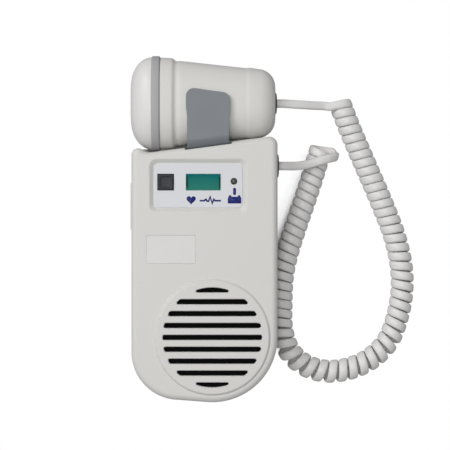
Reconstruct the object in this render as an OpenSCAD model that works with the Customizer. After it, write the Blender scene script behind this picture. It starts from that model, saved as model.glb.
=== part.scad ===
// Pocket fetal doppler: a main unit with speaker, display and battery, a hand probe held in a
// clip on its top, and a curly cord between the two.
// Millimetres. The unit lies on its back: +X to its right, +Y towards the probe, +Z out of its
// front. The origin is on the back face, on the centre line of the unit.

/* [Main unit] */
// Width of the unit
unit_w = 74; // [72:0.5:78]
// Thickness of the unit, from back face to front face
unit_t = 34; // [33.5:0.5:37]
// Height of the top right corner above the origin
unit_top = 66.7; // [65:0.1:69]
// Slope of the top edge under the probe, in degrees
top_slope = 7.6; // [6:0.1:9]
// Radius of the two top corners
top_corner_r = 4.3; // [3.6:0.1:5.2]
// Radius of the large bottom left corner
foot_corner_r = 24.3; // [22:0.1:26]
// How much higher the bottom left corner ends than the bottom right one
foot_rise = 1.2; // [0.4:0.1:2.4]
// Wall thickness of both housings
wall = 2.2; // [1.8:0.1:2.6]
// Height of the joint between the two housings
parting_z = 17; // [16.4:0.1:17.6]
// Radius of the front edge
front_round = 3; // [2:0.1:3.4]
// Height of the rest pad that stands out of the back
back_z = 0.8; // [0.6:0.1:1.2]
// Radius of the back edge
back_round = 2.4; // [1.6:0.1:3]
// How far the back face is drawn in on each side
back_inset = 8.5; // [6:0.1:9]
// Height at which the drawn-in sides begin
taper_z = 16; // [14:0.1:16.4]
// Height of the lip beside the probe head, above the sloping top edge
lip_rise = 2.9; // [1.6:0.1:3.4]

/* [Speaker grille] */
// Sideways place of the speaker's centre
speaker_x = 4; // [2:0.1:6]
// Lengthwise place of the speaker's centre
speaker_y = -34.8; // [-37:0.1:-33]
// Outer diameter of the speaker
speaker_d = 50.8; // [48:0.1:52]
// Diameter of the raised grille face
grille_d = 56.8; // [55:0.1:58]
// How far the grille face stands out
grille_rise = 1; // [0.6:0.1:1.6]
// Diameter of the circle that bounds the slots
slot_field_d = 50.4; // [46:0.1:51]
// Number of slots
slot_count = 9; // [7:2:11]
// Distance from slot to slot
slot_pitch = 6; // [5.6:0.05:6.2]
// Height of a slot
slot_h = 2.6; // [2:0.1:3]

/* [Display panel] */
// Width of the panel's flat floor
panel_w = 45; // [44:0.5:46]
// Height of the panel's flat floor
panel_h = 22.6; // [22:0.1:23.4]
// Sideways place of the panel's centre
panel_x = -3.1; // [-4:0.1:-2]
// Lengthwise place of the panel's centre
panel_y = 41.8; // [41:0.1:42.5]
// Depth of the panel's floor below the front face
panel_depth = 1.5; // [1:0.1:1.8]
// Width of the sloping border round the floor
panel_border = 2.4; // [1.8:0.1:2.8]
// Thickness of the printed overlay
overlay_t = 0.4; // [0.3:0.05:0.6]
// Width of the display window
window_w = 17.6; // [15:0.1:18.4]
// Height of the display window
window_h = 8.4; // [7:0.1:9]
// Size of the square button
button_s = 8.1; // [7:0.1:8.6]
// How far the button stands above the overlay
button_rise = 1; // [0.6:0.1:1.4]
// Travel of the button
button_travel = 0.5; // [0.3:0.05:0.6]
// Diameter of the status lamp
led_d = 3; // [2:0.1:3.4]

/* [Volume rocker] */
// Length of the rocker
rocker_l = 25; // [22:0.5:27]
// Height of the rocker, front to back
rocker_h = 6; // [5:0.1:6.4]
// How far the rocker stands out of the side
rocker_rise = 0.9; // [0.6:0.1:1.2]
// Lengthwise place of the rocker's pin
rocker_y = 31.4; // [29:0.1:34]
// Diameter of the rocker's pin
pin_d = 1.6; // [1.2:0.1:2]

/* [Probe clip] */
// Width of the clip's arms
clip_w = 22.2; // [20:0.1:23]
// Sideways place of the clip's centre
clip_x = 1.8; // [0:0.1:3]
// Thickness of the clip's arms and floor
clip_t = 2; // [1.6:0.1:2.4]
// Length of the clip's arms above the top edge
clip_l = 28.5; // [26:0.1:30]
// Depth to which the clip's floor is let into the top of the unit
clip_sink = 1.2; // [0.8:0.1:1.6]
// Radius of the outside bends
clip_bend_r = 5; // [4:0.1:6]

/* [Probe] */
// Lengthwise place of the probe's axis
probe_y = 84.3; // [84.3:0.1:87]
// Height of the probe's axis above the back face
probe_z = 18; // [18:0.1:18.4]
// Length of the probe
probe_l = 73.9; // [72:0.1:76]
// Place of the probe's flat face end
probe_x = -37.8; // [-39:0.1:-36]
// Length of the face cap
cap_l = 10.7; // [10:0.1:12]
// Length of the rubber band behind the face cap
band_l = 4.3; // [3.6:0.1:5]
// Half height of the rubber band
band_r = 24.2; // [24:0.1:24.8]
// Half height of the probe head
head_r = 23.4; // [22.4:0.1:23.6]
// Half height of the handle beside the head
handle_r = 21.9; // [20.6:0.1:22]
// Half height of the handle at its end
handle_end_r = 18.2; // [17:0.1:18.3]
// Half height of the tail
tail_r = 17.6; // [17:0.1:17.7]
// Radius of the tail's corners
tail_corner_r = 9; // [7:0.1:10]
// Half depth of the handle, front to back
handle_depth = 15.4; // [14.4:0.1:15.6]
// Wall thickness of the probe's shells
probe_wall = 2; // [1.6:0.1:2.4]

/* [Cord] */
// Width of the flat cord
cord_w = 4.1; // [3.8:0.05:4.15]
// Thickness of the flat cord
cord_t = 2.7; // [2.4:0.1:2.8]
// Outer diameter of the curls
curl_d = 12; // [11:0.1:12.2]
// Number of curls
curl_count = 59; // [50:1:60]
// Least gap between neighbouring curls
curl_gap = 0.5; // [0.45:0.05:0.6]

/* [Hidden] */
$fn = 64;
// Thickness of a slice that only shapes a hull
slice = 0.01;
// Overrun of a cut past the face it opens
over = 1;
// Working clearance between pieces that slide or drop in
gap = 0.3;
housing_col = "#d6d5d2";
grey_col = "#7f8387";
dark_col = "#2b2c2e";
metal_col = "#b9bcc0";
board_col = "#2f6b45";

half_w = unit_w / 2;
// The right side and the bottom are one arc round the speaker
side_r = half_w - speaker_x;
foot_y = speaker_y - side_r + foot_rise + foot_corner_r;
top_tan = tan(top_slope);
top_right_y = unit_top - top_corner_r;
// Height of the sloping top edge at any place
function top_edge(x) = top_right_y + top_corner_r / cos(top_slope)
    - (half_w - top_corner_r - x) * top_tan;
lip_r = 3.4;
panel_floor_z = unit_t - panel_depth;
// Pad on the back: its half width, its ends and the slope of its edges
rest_x = half_w - back_inset - back_round - 1.1;
rest_y0 = speaker_y - 3.2;
rest_y1 = unit_top - 8.2;
rest_slope = 0.4;
// Underside of the wall that carries the panel
panel_under_z = panel_floor_z - 2.1;
front_inner_z = unit_t - wall;
grille_z = unit_t + grille_rise;
grille_under_z = unit_t - 1.6;
overlay_z = panel_floor_z + overlay_t;
window_x = -0.6;
window_y = 43.6;
button_x = -19.6;
button_y = 43.6;
led_x = 14.9;
led_y = 44;

// Housing outline, seen from the front, with every edge drawn in by s and the sides by t
function arc(c, r, a0, a1, n) = [for (i = [0 : n])
    c + r * [cos(a0 + (a1 - a0) * i / n), sin(a0 + (a1 - a0) * i / n)]];
foot_left = [-half_w + foot_corner_r, foot_y];
foot_right = [speaker_x, speaker_y];
foot_span = foot_right - foot_left;
foot_a = 270 + atan2(foot_span[1], foot_span[0]) - asin((side_r - foot_corner_r) / norm(foot_span));
lip_flank = 56;
dip_r = 6;
// Point at given distances from two lines, whose normals stand at angles a and b
function crossing(a, ha, b, hb) = [ha * sin(b) - hb * sin(a), hb * cos(a) - ha * cos(b)]
    / sin(b - a);
function outline(s, t) = let (
    corner = [half_w - top_corner_r - t, top_right_y - t * top_tan],
    lip = [-half_w + lip_r + t, top_edge(-half_w + lip_r + t) + lip_rise - lip_r],
    rise_a = 90 + top_slope,
    dip = crossing(rise_a, corner * [cos(rise_a), sin(rise_a)] + top_corner_r + dip_r,
        lip_flank, lip * [cos(lip_flank), sin(lip_flank)] + lip_r + dip_r))
    concat(arc(foot_left, foot_corner_r - s - t, 180, foot_a, 8),
        arc(foot_right, side_r - s - t, foot_a, 360, 10),
        arc(corner, top_corner_r - s, 0, rise_a, 5),
        arc(dip, -dip_r - s, rise_a, lip_flank, 3),
        arc(lip, lip_r - s, lip_flank, 180, 5));
function level(s, t, z) = [for (p = outline(s, t)) [p[0], p[1], z]];
function side_inset(z) = z >= taper_z ? 0 : back_inset * (1 - z / taper_z);

// A closed solid through a row of rings with equal counts of points
module loft(rings) {
    n = len(rings[0]);
    m = len(rings);
    points = [for (ring = rings) each ring];
    sides = [for (k = [0 : m - 2], i = [0 : n - 1]) each [
        [k * n + i, (k + 1) * n + i, k * n + (i + 1) % n],
        [k * n + (i + 1) % n, (k + 1) * n + i, (k + 1) * n + (i + 1) % n]]];
    ends = [[for (i = [0 : n - 1]) i], [for (i = [n - 1 : -1 : 0]) (m - 1) * n + i]];
    polyhedron(points = points, faces = concat(sides, ends), convexity = 6);
}

module front_form() {
    loft(concat([level(0, 0, parting_z)], [for (a = [0, 30, 60, 90])
        level(front_round * (1 - cos(a)), 0, unit_t - front_round * (1 - sin(a)))]));
}

module back_form() {
    loft(concat([for (a = [0, 45, 90]) let (z = back_z + back_round * (1 - cos(a)))
            level(back_round * (1 - sin(a)), side_inset(z), z)],
        [level(0, 0, taper_z), level(0, 0, parting_z)]));
}

// Raised pad that the unit rests on, wider by rest_slope where it meets the back
module rest_pad() {
    loft([for (p = [[0, 0], [back_z, rest_slope], [wall - slice, rest_slope]]) [
        [-rest_x - p[1], rest_y0 - p[1], p[0]], [rest_x + p[1], rest_y0 - p[1], p[0]],
        [rest_x + p[1], rest_y1 + p[1], p[0]], [-rest_x - p[1], rest_y1 + p[1], p[0]]]]);
}

module front_cavity() {
    translate([0, 0, parting_z - over]) linear_extrude(front_inner_z - parting_z + over)
        polygon(outline(wall, 0));
}

module back_cavity() {
    loft([level(wall, side_inset(wall), wall), level(wall, 0, taper_z),
        level(wall, 0, parting_z + over)]);
}

module grille_ring() {
    translate([speaker_x, speaker_y, grille_under_z])
        cylinder(d1 = grille_d + 2 * (grille_z - grille_under_z), d2 = grille_d,
            h = grille_z - grille_under_z, $fn = 96);
}

// Slots clipped by the round field
module grille_slots() {
    intersection() {
        translate([speaker_x, speaker_y, grille_under_z - over])
            cylinder(d = slot_field_d, h = 8, $fn = 96);
        for (i = [0 : slot_count - 1])
            translate([speaker_x - slot_field_d / 2,
                    speaker_y + (i - (slot_count - 1) / 2) * slot_pitch - slot_h / 2,
                    grille_under_z - over])
                cube([slot_field_d, slot_h, 8]);
    }
}

// A flat block with round corners, centred on x and y
module rounded_block(w, h, r, z0, z1) {
    translate([0, 0, z0]) {
        translate([-w / 2 + r, -h / 2, 0]) cube([w - 2 * r, h, z1 - z0]);
        translate([-w / 2, -h / 2 + r, 0]) cube([w, h - 2 * r, z1 - z0]);
        for (sx = [-1, 1], sy = [-1, 1])
            translate([sx * (w / 2 - r), sy * (h / 2 - r), 0])
                cylinder(r = r, h = z1 - z0, $fn = 32);
    }
}

module panel_recess() {
    translate([panel_x, panel_y, 0]) hull() {
        rounded_block(panel_w, panel_h, 2.5, panel_floor_z, panel_floor_z + slice);
        rounded_block(panel_w + 2 * panel_border * (1 + over / panel_depth),
            panel_h + 2 * panel_border * (1 + over / panel_depth), 4, unit_t + over,
            unit_t + over + slice);
    }
}

// Screw posts that join the housings
screw_places = [[-21.5, 54.5], [21.5, 54.5], [-21.5, -5], [21.5, -5]];
screw_d = 2.4;
screw_head_d = 4.6;
screw_head_h = 1.8;
post_d = 6.4;
screw_l = 20;
screw_head_z = 2.4;

// Board supports
board_t = 1.6;
board_z = 23.5;
board_top = board_z + board_t;
board_posts = [[-26, 6], [28, 6], [28, 46], [-26, 30]];
board_post_d = 4.6;

// Clip and its seat, along the sloping top edge
clip_screw_z = [9.5, 25];
clip_flare = 0.6;
clip_screw_d = 2.2;
clip_block = 6;
module along_top() {
    translate([clip_x, top_edge(clip_x), 0]) rotate([0, 0, top_slope]) children();
}

// Cord glands, let a little into the walls
gland_t = 1.3;
gland_seat = 0.8;
unit_gland_y = 52.1;
unit_gland_h = 12;
gland_z_h = 8.6;
gland_hub_d = 7;
unit_gland_z = parting_z + gland_z_h / 2 + 0.2;
probe_gland_h = 10.9;

module front_housing() {
    color(housing_col) difference() {
        union() {
            difference() {
                front_form();
                front_cavity();
            }
            grille_ring();
            // Seat round the speaker
            translate([speaker_x, speaker_y, 0]) difference() {
                translate([0, 0, grille_under_z - 4])
                    cylinder(d = speaker_d + 2 * gap + 2.6, h = 4 + slice, $fn = 96);
                translate([0, 0, grille_under_z - 4 - over])
                    cylinder(d = speaker_d + 2 * gap, h = 4 + over, $fn = 96);
            }
            // Wall behind the display panel
            translate([panel_x, panel_y, 0])
                rounded_block(panel_w + 2 * panel_border + 2, panel_h + 2 * panel_border + 1,
                    3, panel_under_z, front_inner_z + slice);
            for (p = screw_places)
                translate([p[0], p[1], parting_z])
                    cylinder(d = post_d, h = front_inner_z - parting_z + slice, $fn = 40);
            for (p = board_posts)
                translate([p[0], p[1], board_top])
                    cylinder(d = board_post_d, h = front_inner_z - board_top + slice, $fn = 32);
            // Bracket over the rocker's pin
            translate([-half_w + wall - slice, rocker_y - 2, pin_top_z - 1.6])
                cube([4.4, 4, front_inner_z - pin_top_z + 1.7]);
            // Block behind the clip's floor
            along_top() translate([-clip_w / 2 - 1.2, -clip_sink - clip_block, parting_z])
                cube([clip_w + 2.4, clip_block, front_inner_z - parting_z + slice]);
        }
        panel_recess();
        grille_slots();
        translate([speaker_x, speaker_y, grille_under_z - 1])
            cylinder(d = speaker_d + 2 * gap, h = 1, $fn = 96);
        // Display window, its lens pocket, the button's opening and the lamp's hole
        translate([window_x - window_w / 2, window_y - window_h / 2, panel_under_z - over])
            cube([window_w, window_h, 6]);
        translate([window_x - window_w / 2 - 1.5, window_y - window_h / 2 - 1.5,
                panel_under_z - over])
            cube([window_w + 3, window_h + 3, over + lens_t]);
        translate([button_x - button_s / 2 - gap / 2, button_y - button_s / 2 - gap / 2,
                panel_under_z - over])
            cube([button_s + gap, button_s + gap, 6]);
        translate([led_x, led_y, panel_under_z - over]) cylinder(d = led_d + 0.4, h = 6);
        for (p = screw_places)
            translate([p[0], p[1], parting_z - over])
                cylinder(d = screw_d, h = screw_l - parting_z + screw_head_z + over + 0.5,
                    $fn = 24);
        // Opening for the rocker
        translate([-half_w - over, rocker_y - rocker_l / 2 - 0.4, rocker_z - rocker_h / 2 - 0.3])
            cube([wall + over + 0.6, rocker_l + 0.8, rocker_h + 0.6]);
        translate([pin_x, rocker_y, pin_top_z - 1.6 - over])
            cylinder(d = pin_d + 0.1, h = 1.6 + over, $fn = 24);
        // Seat and opening for the cord gland
        translate([half_w - gland_seat, unit_gland_y, unit_gland_z]) rotate([0, 90, 0])
            linear_extrude(gland_seat + over) gland_outline(unit_gland_h, 0.1);
        translate([half_w - wall - over, unit_gland_y, unit_gland_z]) rotate([0, 90, 0])
            cylinder(d = gland_hub_d + 0.1, h = wall + over, $fn = 40);
        clip_notch(parting_z - over, unit_t + over);
        clip_screw_hole(clip_screw_z[1]);
    }
}

module clip_notch(z0, z1) {
    along_top() translate([-clip_w / 2 - clip_flare - gap, -clip_sink, z0])
        cube([clip_w + 2 * (clip_flare + gap), 6, z1 - z0]);
}

module clip_screw_hole(z) {
    along_top() translate([0, -clip_sink + over, z]) rotate([90, 0, 0])
        cylinder(d = clip_screw_d, h = over + 5, $fn = 24);
}

// Battery bay and its sliding door
battery_w = 26.5;
battery_t = 17.5;
battery_l = 46;
stud_l = 2.5;
battery_y0 = -52;
battery_top_y = battery_y0 + battery_l;
ledge_t = 1.2;
door_t = 2;
door_w = 33;
door_tongue = 1.2;
door_top_y = battery_top_y + 0.5;
door_slide_gap = 0.15;
battery_z = door_t + ledge_t + 0.1;
bay_wall = 1.4;
bay_w = battery_w + 2 * gap;

module door_channel(grow) {
    // Plate and its two side tongues, long enough to leave by the bottom end
    translate([-door_w / 2 - grow, -unit_w - 20, -over])
        cube([door_w + 2 * grow, unit_w + 20 + door_top_y + grow, door_t + over + grow]);
    translate([-door_w / 2 - door_tongue - grow, -unit_w - 20, door_t - 1 - grow])
        cube([door_w + 2 * (door_tongue + grow), unit_w + 20 + door_top_y - 2 + grow,
            1 + 2 * grow]);
}

module rear_housing() {
    color(housing_col) difference() {
        union() {
            difference() {
                back_form();
                back_cavity();
            }
            rest_pad();
            // Frame that carries the door and the battery
            intersection() {
                translate([-door_w / 2 - 3.4, -unit_w, 0])
                    cube([door_w + 6.8, unit_w + door_top_y + 3, door_t + ledge_t]);
                back_form();
            }
            // Ribs on both sides of the battery
            for (sx = [-1, 1])
                translate([sx * (bay_w / 2 + bay_wall / 2) - bay_wall / 2, battery_y0 + 6,
                        door_t])
                    cube([bay_wall, battery_l - 12, 12]);
            for (p = screw_places)
                translate([p[0], p[1], wall - slice])
                    cylinder(d = post_d, h = parting_z - wall + slice, $fn = 40);
            for (p = board_posts)
                translate([p[0], p[1], wall - slice])
                    cylinder(d = board_post_d, h = board_z - wall, $fn = 32);
            // Step under the lower end of the rocker's pin
            translate([-half_w + wall + 0.4, rocker_y - 2, pin_foot_z - 3])
                cube([3.8, 4, 4]);
            along_top() translate([-clip_w / 2 - 1.2, -clip_sink - clip_block, wall - slice])
                cube([clip_w + 2.4, clip_block, parting_z - wall]);
        }
        door_channel(door_slide_gap);
        // Opening through which the battery goes in
        translate([-bay_w / 2, battery_y0 - gap, -over])
            cube([bay_w, door_top_y - battery_y0 - 1.5, battery_z + 2 * over]);
        for (p = screw_places) {
            translate([p[0], p[1], -over]) cylinder(d = screw_d + 0.2, h = 30, $fn = 24);
            translate([p[0], p[1], -over])
                cylinder(d = screw_head_d + 0.4, h = screw_head_z + over, $fn = 32);
        }
        translate([pin_x, rocker_y, pin_foot_z])
            cylinder(d = pin_d + 0.1, h = 3, $fn = 24);
        clip_notch(-over, parting_z + over);
        clip_screw_hole(clip_screw_z[0]);
    }
}

module battery_door() {
    color(housing_col) difference() {
        intersection() {
            door_channel(0);
            back_form();
        }
        // Finger grip
        for (i = [0 : 4])
            translate([-8, door_top_y - 6 - i * 2, -over]) cube([16, 0.9, over + back_z + 0.5]);
    }
}

module battery() {
    color("#3a3f45") union() {
        translate([0, battery_y0 + battery_l / 2, 0])
            rounded_block(battery_w, battery_l, 1.8, battery_z, battery_z + battery_t);
        for (sx = [-1, 1])
            translate([sx * 6.35, battery_top_y - slice, battery_z + battery_t / 2])
                rotate([-90, 0, 0])
                    cylinder(d = sx > 0 ? 8 : 5.8, h = stud_l + slice, $fn = 32);
    }
}

snap_w = 25;
snap_h = 12.4;
snap_t = 2;
module battery_snap() {
    color(dark_col) translate([0, battery_top_y + stud_l, 0])
        translate([-snap_w / 2, 0, door_t + ledge_t]) cube([snap_w, snap_t, snap_h]);
}

lens_t = 1;
module display_lens() {
    color("#6fa8a0") translate([window_x - window_w / 2 - 1.4, window_y - window_h / 2 - 1.4,
            panel_under_z])
        cube([window_w + 2.8, window_h + 2.8, lens_t]);
}

module lcd_module() {
    color("#2b8a80") union() {
        translate([window_x - window_w / 2 - 1.4, window_y - window_h / 2 - 1.4,
                panel_under_z - 2.6])
            cube([window_w + 2.8, window_h + 2.8, 2.6]);
        for (sx = [-1, 1])
            translate([window_x + sx * window_w / 2 - 1, window_y - 3, board_top])
                cube([2, 6, panel_under_z - 2.6 - board_top + slice]);
    }
}

module panel_overlay() {
    color("#d3d6dc") difference() {
        translate([panel_x, panel_y, 0])
            rounded_block(panel_w - 0.4, panel_h - 0.4, 2.3, panel_floor_z, overlay_z);
        translate([window_x - window_w / 2, window_y - window_h / 2, panel_floor_z - over])
            cube([window_w, window_h, 3]);
        translate([button_x - button_s / 2 - gap / 2, button_y - button_s / 2 - gap / 2,
                panel_floor_z - over])
            cube([button_s + gap, button_s + gap, 3]);
        translate([led_x, led_y, panel_floor_z - over]) cylinder(d = led_d + 0.4, h = 3);
    }
}

switch_h = 3;
button_flange_z = board_top + switch_h + button_travel + 0.3;
module mode_button() {
    color("#4a4d51") translate([button_x, button_y, 0]) union() {
        rounded_block(button_s, button_s, 1, button_flange_z, overlay_z + button_rise - 0.3);
        rounded_block(button_s - 0.8, button_s - 0.8, 0.8, button_flange_z,
            overlay_z + button_rise);
        rounded_block(button_s + 2.2, button_s + 2.2, 1, button_flange_z,
            panel_under_z - gap);
    }
}

module button_switch() {
    color(dark_col) translate([button_x, button_y, board_top]) union() {
        translate([-3, -3, 0]) cube([6, 6, switch_h - 0.8]);
        cylinder(d = 3.4, h = switch_h, $fn = 32);
    }
}

module status_led() {
    color("#5a5c5e") translate([led_x, led_y, 0]) union() {
        translate([0, 0, board_top])
            cylinder(d = led_d, h = overlay_z - led_d / 2 - board_top + 0.6, $fn = 40);
        translate([0, 0, overlay_z - led_d / 2 + 0.6]) sphere(d = led_d, $fn = 40);
    }
}

board_edge = 3.8;
board_y0 = -1;
board_l = 50;
module main_board() {
    board_x = half_w - wall - board_edge;
    color(board_col) difference() {
        translate([-board_x, board_y0, board_z]) cube([2 * board_x, board_l, board_t]);
        translate([-board_x - over, rocker_y - 3, board_z - over])
            cube([2 + over, 6, board_t + 2]);
    }
}

// Speaker stack, pressed up against the grille
gasket_t = 0.7;
screen_t = 0.4;
flange_t = 1;
module grille_screen() {
    color("#151617") translate([speaker_x, speaker_y, grille_under_z - screen_t])
        cylinder(d = speaker_d, h = screen_t, $fn = 96);
}

module speaker_gasket() {
    color("#202122") translate([speaker_x, speaker_y, grille_under_z - screen_t - gasket_t])
        difference() {
            cylinder(d = speaker_d, h = gasket_t, $fn = 96);
            translate([0, 0, -over]) cylinder(d = speaker_d - 5, h = 4, $fn = 96);
        }
}

flange_z = grille_under_z - screen_t - gasket_t - flange_t;
basket_z = flange_z - 5;
cone_r = speaker_d / 2 - 2.3;
dust_cap_d = 14;
module speaker_frame() {
    color(metal_col) translate([speaker_x, speaker_y, 0]) rotate_extrude($fn = 96) polygon([
        [speaker_d / 2, flange_z + flange_t], [speaker_d / 2, flange_z],
        [speaker_d / 2 - 1.2, flange_z], [15, basket_z], [5, basket_z], [5, basket_z + 1],
        [14.4, basket_z + 1], [cone_r + gap, flange_z + 0.3],
        [cone_r + gap, flange_z + flange_t]]);
}

module speaker_cone() {
    color("#3b3a38") translate([speaker_x, speaker_y, 0]) union() {
        rotate_extrude($fn = 96) polygon([
            [cone_r, flange_z + flange_t], [cone_r, flange_z + 0.5],
            [5, flange_z - 3], [5, flange_z - 2.4]]);
        // Dust cap
        translate([0, 0, flange_z - 3]) cylinder(d = dust_cap_d, h = 2.4, $fn = 48);
    }
}

magnet_d = 28;
magnet_h = 4;
module speaker_magnet() {
    color("#8f9296") translate([speaker_x, speaker_y, basket_z - magnet_h])
        cylinder(d = magnet_d, h = magnet_h);
}

// Volume rocker on its pin
rocker_z = 21;
pin_x = -half_w + 3.6;
pin_top_z = rocker_z + rocker_h / 2 + 0.4 + 1.6;
pin_foot_z = parting_z - 1.4;
module volume_rocker() {
    color(housing_col) difference() {
        translate([0, 0, rocker_z - rocker_h / 2]) union() {
            linear_extrude(rocker_h) polygon([
                [-half_w - rocker_rise, rocker_y - rocker_l / 2 + rocker_rise],
                [-half_w - rocker_rise, rocker_y + rocker_l / 2 - rocker_rise],
                [-half_w, rocker_y + rocker_l / 2],
                [-half_w + wall + 0.2, rocker_y + rocker_l / 2],
                [-half_w + wall + 0.2, rocker_y - rocker_l / 2],
                [-half_w, rocker_y - rocker_l / 2]]);
            translate([pin_x, rocker_y, 0]) cylinder(d = pin_d + 1.8, h = rocker_h, $fn = 40);
        }
        translate([pin_x, rocker_y, rocker_z - rocker_h / 2 - over])
            cylinder(d = pin_d + 0.2, h = rocker_h + 2 * over, $fn = 40);
    }
}

module rocker_pin() {
    color(metal_col) translate([pin_x, rocker_y, pin_foot_z])
        cylinder(d = pin_d, h = pin_top_z - 0.2 - pin_foot_z, $fn = 40);
}

module rocker_switches() {
    color(dark_col) for (sy = [-1, 1])
        translate([-half_w + wall + 0.8, rocker_y + sy * 8.5, 0]) {
            translate([0.8, -3, rocker_z - 2.6]) cube([3.4, 6, board_z - rocker_z + 2.6]);
            translate([0, 0, rocker_z]) rotate([0, 90, 0])
                cylinder(d = 2.6, h = 1, $fn = 24);
        }
}

// Clip: a U across the thickness, cut to the outline of its arms
clip_z0 = probe_z - handle_depth - gap - clip_t;
clip_z1 = probe_z + handle_depth + gap + clip_t;
module clip_u(r, inset) {
    // Section of the U in length and height, as a plate with round lower corners
    y1 = clip_l + 5;
    translate([inset + r, clip_z0 + inset])
        square([y1, clip_z1 - clip_z0 - 2 * inset]);
    translate([inset, clip_z0 + inset + r])
        square([y1, clip_z1 - clip_z0 - 2 * inset - 2 * r]);
    for (z = [clip_z0 + inset + r, clip_z1 - inset - r])
        translate([inset + r, z]) circle(r = r, $fn = 48);
}

// Outline of the arms from the front: a flared foot, a waist and a wider head whose edge
// slopes the other way than the foot
module clip_outline() {
    head = clip_w / 2;
    waist = head - 0.9;
    foot = head + clip_flare;
    r = 4;
    translate([clip_x, top_edge(clip_x) - clip_sink]) polygon(concat(
        [[foot, -8], [-foot, -8], [-foot, -0.3], [-waist, 2.6], [-waist, clip_l - 13],
            [-head, clip_l - 8]],
        arc([-head + r, clip_l + 1 - r], r, 180, 84, 6),
        arc([head - r, clip_l - 1 - r], r, 84, 0, 6),
        [[head, clip_l - 10], [waist, clip_l - 15], [waist, 4], [foot, 1.6]]));
}

module probe_clip() {
    color(grey_col) difference() {
        intersection() {
            along_top() translate([0, -clip_sink, 0]) rotate([90, 0, 90])
                translate([0, 0, -clip_w]) linear_extrude(2 * clip_w) difference() {
                    clip_u(clip_bend_r, 0);
                    clip_u(clip_bend_r - clip_t, clip_t);
                }
            translate([0, 0, clip_z0 - over]) linear_extrude(clip_z1 - clip_z0 + 2 * over)
                clip_outline();
        }
        for (z = clip_screw_z) clip_screw_way(z);
    }
}

module clip_screw_way(z) {
    along_top() translate([0, -clip_sink, z]) rotate([-90, 0, 0]) {
        translate([0, 0, -over]) cylinder(d = clip_screw_d + 0.2, h = 4, $fn = 24);
        translate([0, 0, clip_t - 1]) cylinder(d = 4.4, h = 3, $fn = 32);
    }
}

module clip_screws() {
    color(metal_col) for (z = clip_screw_z)
        along_top() translate([0, -clip_sink, z]) rotate([90, 0, 0]) {
            translate([0, 0, -clip_t + 0.1]) cylinder(d = 4.2, h = 0.9, $fn = 32);
            translate([0, 0, -clip_t + 0.1]) cylinder(d = clip_screw_d, h = clip_t + 4.5, $fn = 24);
        }
}

module housing_screws() {
    color(metal_col) for (p = screw_places) translate([p[0], p[1], screw_head_z]) {
        translate([0, 0, -screw_head_h]) cylinder(d = screw_head_d, h = screw_head_h, $fn = 32);
        translate([0, 0, -slice]) cylinder(d = screw_d, h = screw_l - 2, $fn = 24);
    }
}

// A cord gland: an oval flange and a hub that passes through the wall, pointing along +X
module gland(x0, y, z, h, hub_l) {
    translate([x0, y, z]) rotate([0, 90, 0]) union() {
        linear_extrude(gland_t) gland_outline(h, 0);
        translate([0, 0, -hub_l]) cylinder(d = gland_hub_d, h = hub_l + slice, $fn = 40);
    }
}
module gland_outline(h, grow) {
    polygon([for (i = [0 : 27]) [
        (gland_z_h / 2 + grow) * superellipse(i * 360 / 28 - 90, section_power),
        (h / 2 + grow) * superellipse(i * 360 / 28, section_power)]]);
}

module unit_cord_gland() {
    color(dark_col)
        gland(half_w - gland_seat, unit_gland_y, unit_gland_z, unit_gland_h, wall);
}

// Probe: stations along its length, each [place, half height, half depth]
cap_x = probe_x + cap_l;
head_x = cap_x + band_l;
tail_x1 = probe_x + probe_l;
tail_x0 = tail_x1 - tail_corner_r;
step_x = head_x + 6.5;
handle_x0 = step_x + 2.6;
handle_x1 = tail_x0 - 6;
head_depth = handle_depth + 0.9;
tail_corner_depth = 5;
probe_sides = 36;
section_power = 2.7;

function superellipse(a, n) = sign(cos(a)) * pow(abs(cos(a)), 2 / n);
function probe_ring(p, n = probe_sides) = [for (i = [0 : n - 1])
    [p[0], probe_y + p[1] * superellipse(i * 360 / n, section_power),
        probe_z + p[2] * superellipse(i * 360 / n - 90, section_power)]];

// Half height of the flat middle of the face
cap_flat = 9;
// Front end of the face cap, drawn in by s
function cap_stations(s) = [for (a = [0, 18, 36, 54, 72, 90])
    [cap_x - (cap_l - s) * cos(a), cap_flat + (head_r + 0.2 - s - cap_flat) * sin(a),
        6 + (head_depth + 0.1 - s - 6) * sin(a)]];

// Outline of the shells behind the band, drawn in by s
function shell_stations(s) = concat(
    [[head_x + s, head_r - s, head_depth - s],
        [step_x, head_r - 0.5 - s, head_depth - 0.2 - s],
        [step_x + 0.9, head_r - 0.8 - s, head_depth - 0.4 - s],
        [step_x + 1.8, handle_r + 0.2 - s, handle_depth + 0.1 - s],
        [handle_x0, handle_r - s, handle_depth - s],
        [handle_x1, handle_end_r - s, handle_depth - s],
        [handle_x1 + 1.5, handle_end_r - s, handle_depth - s]],
    [for (a = [0, 22.5, 45, 67.5, 80, 90]) [tail_x0 + (tail_corner_r - s) * sin(a),
        tail_r - s - (tail_corner_r - s) * (1 - cos(a)),
        handle_depth - 0.2 - s - (tail_corner_depth - s / 2) * (1 - cos(a))]]);

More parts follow.
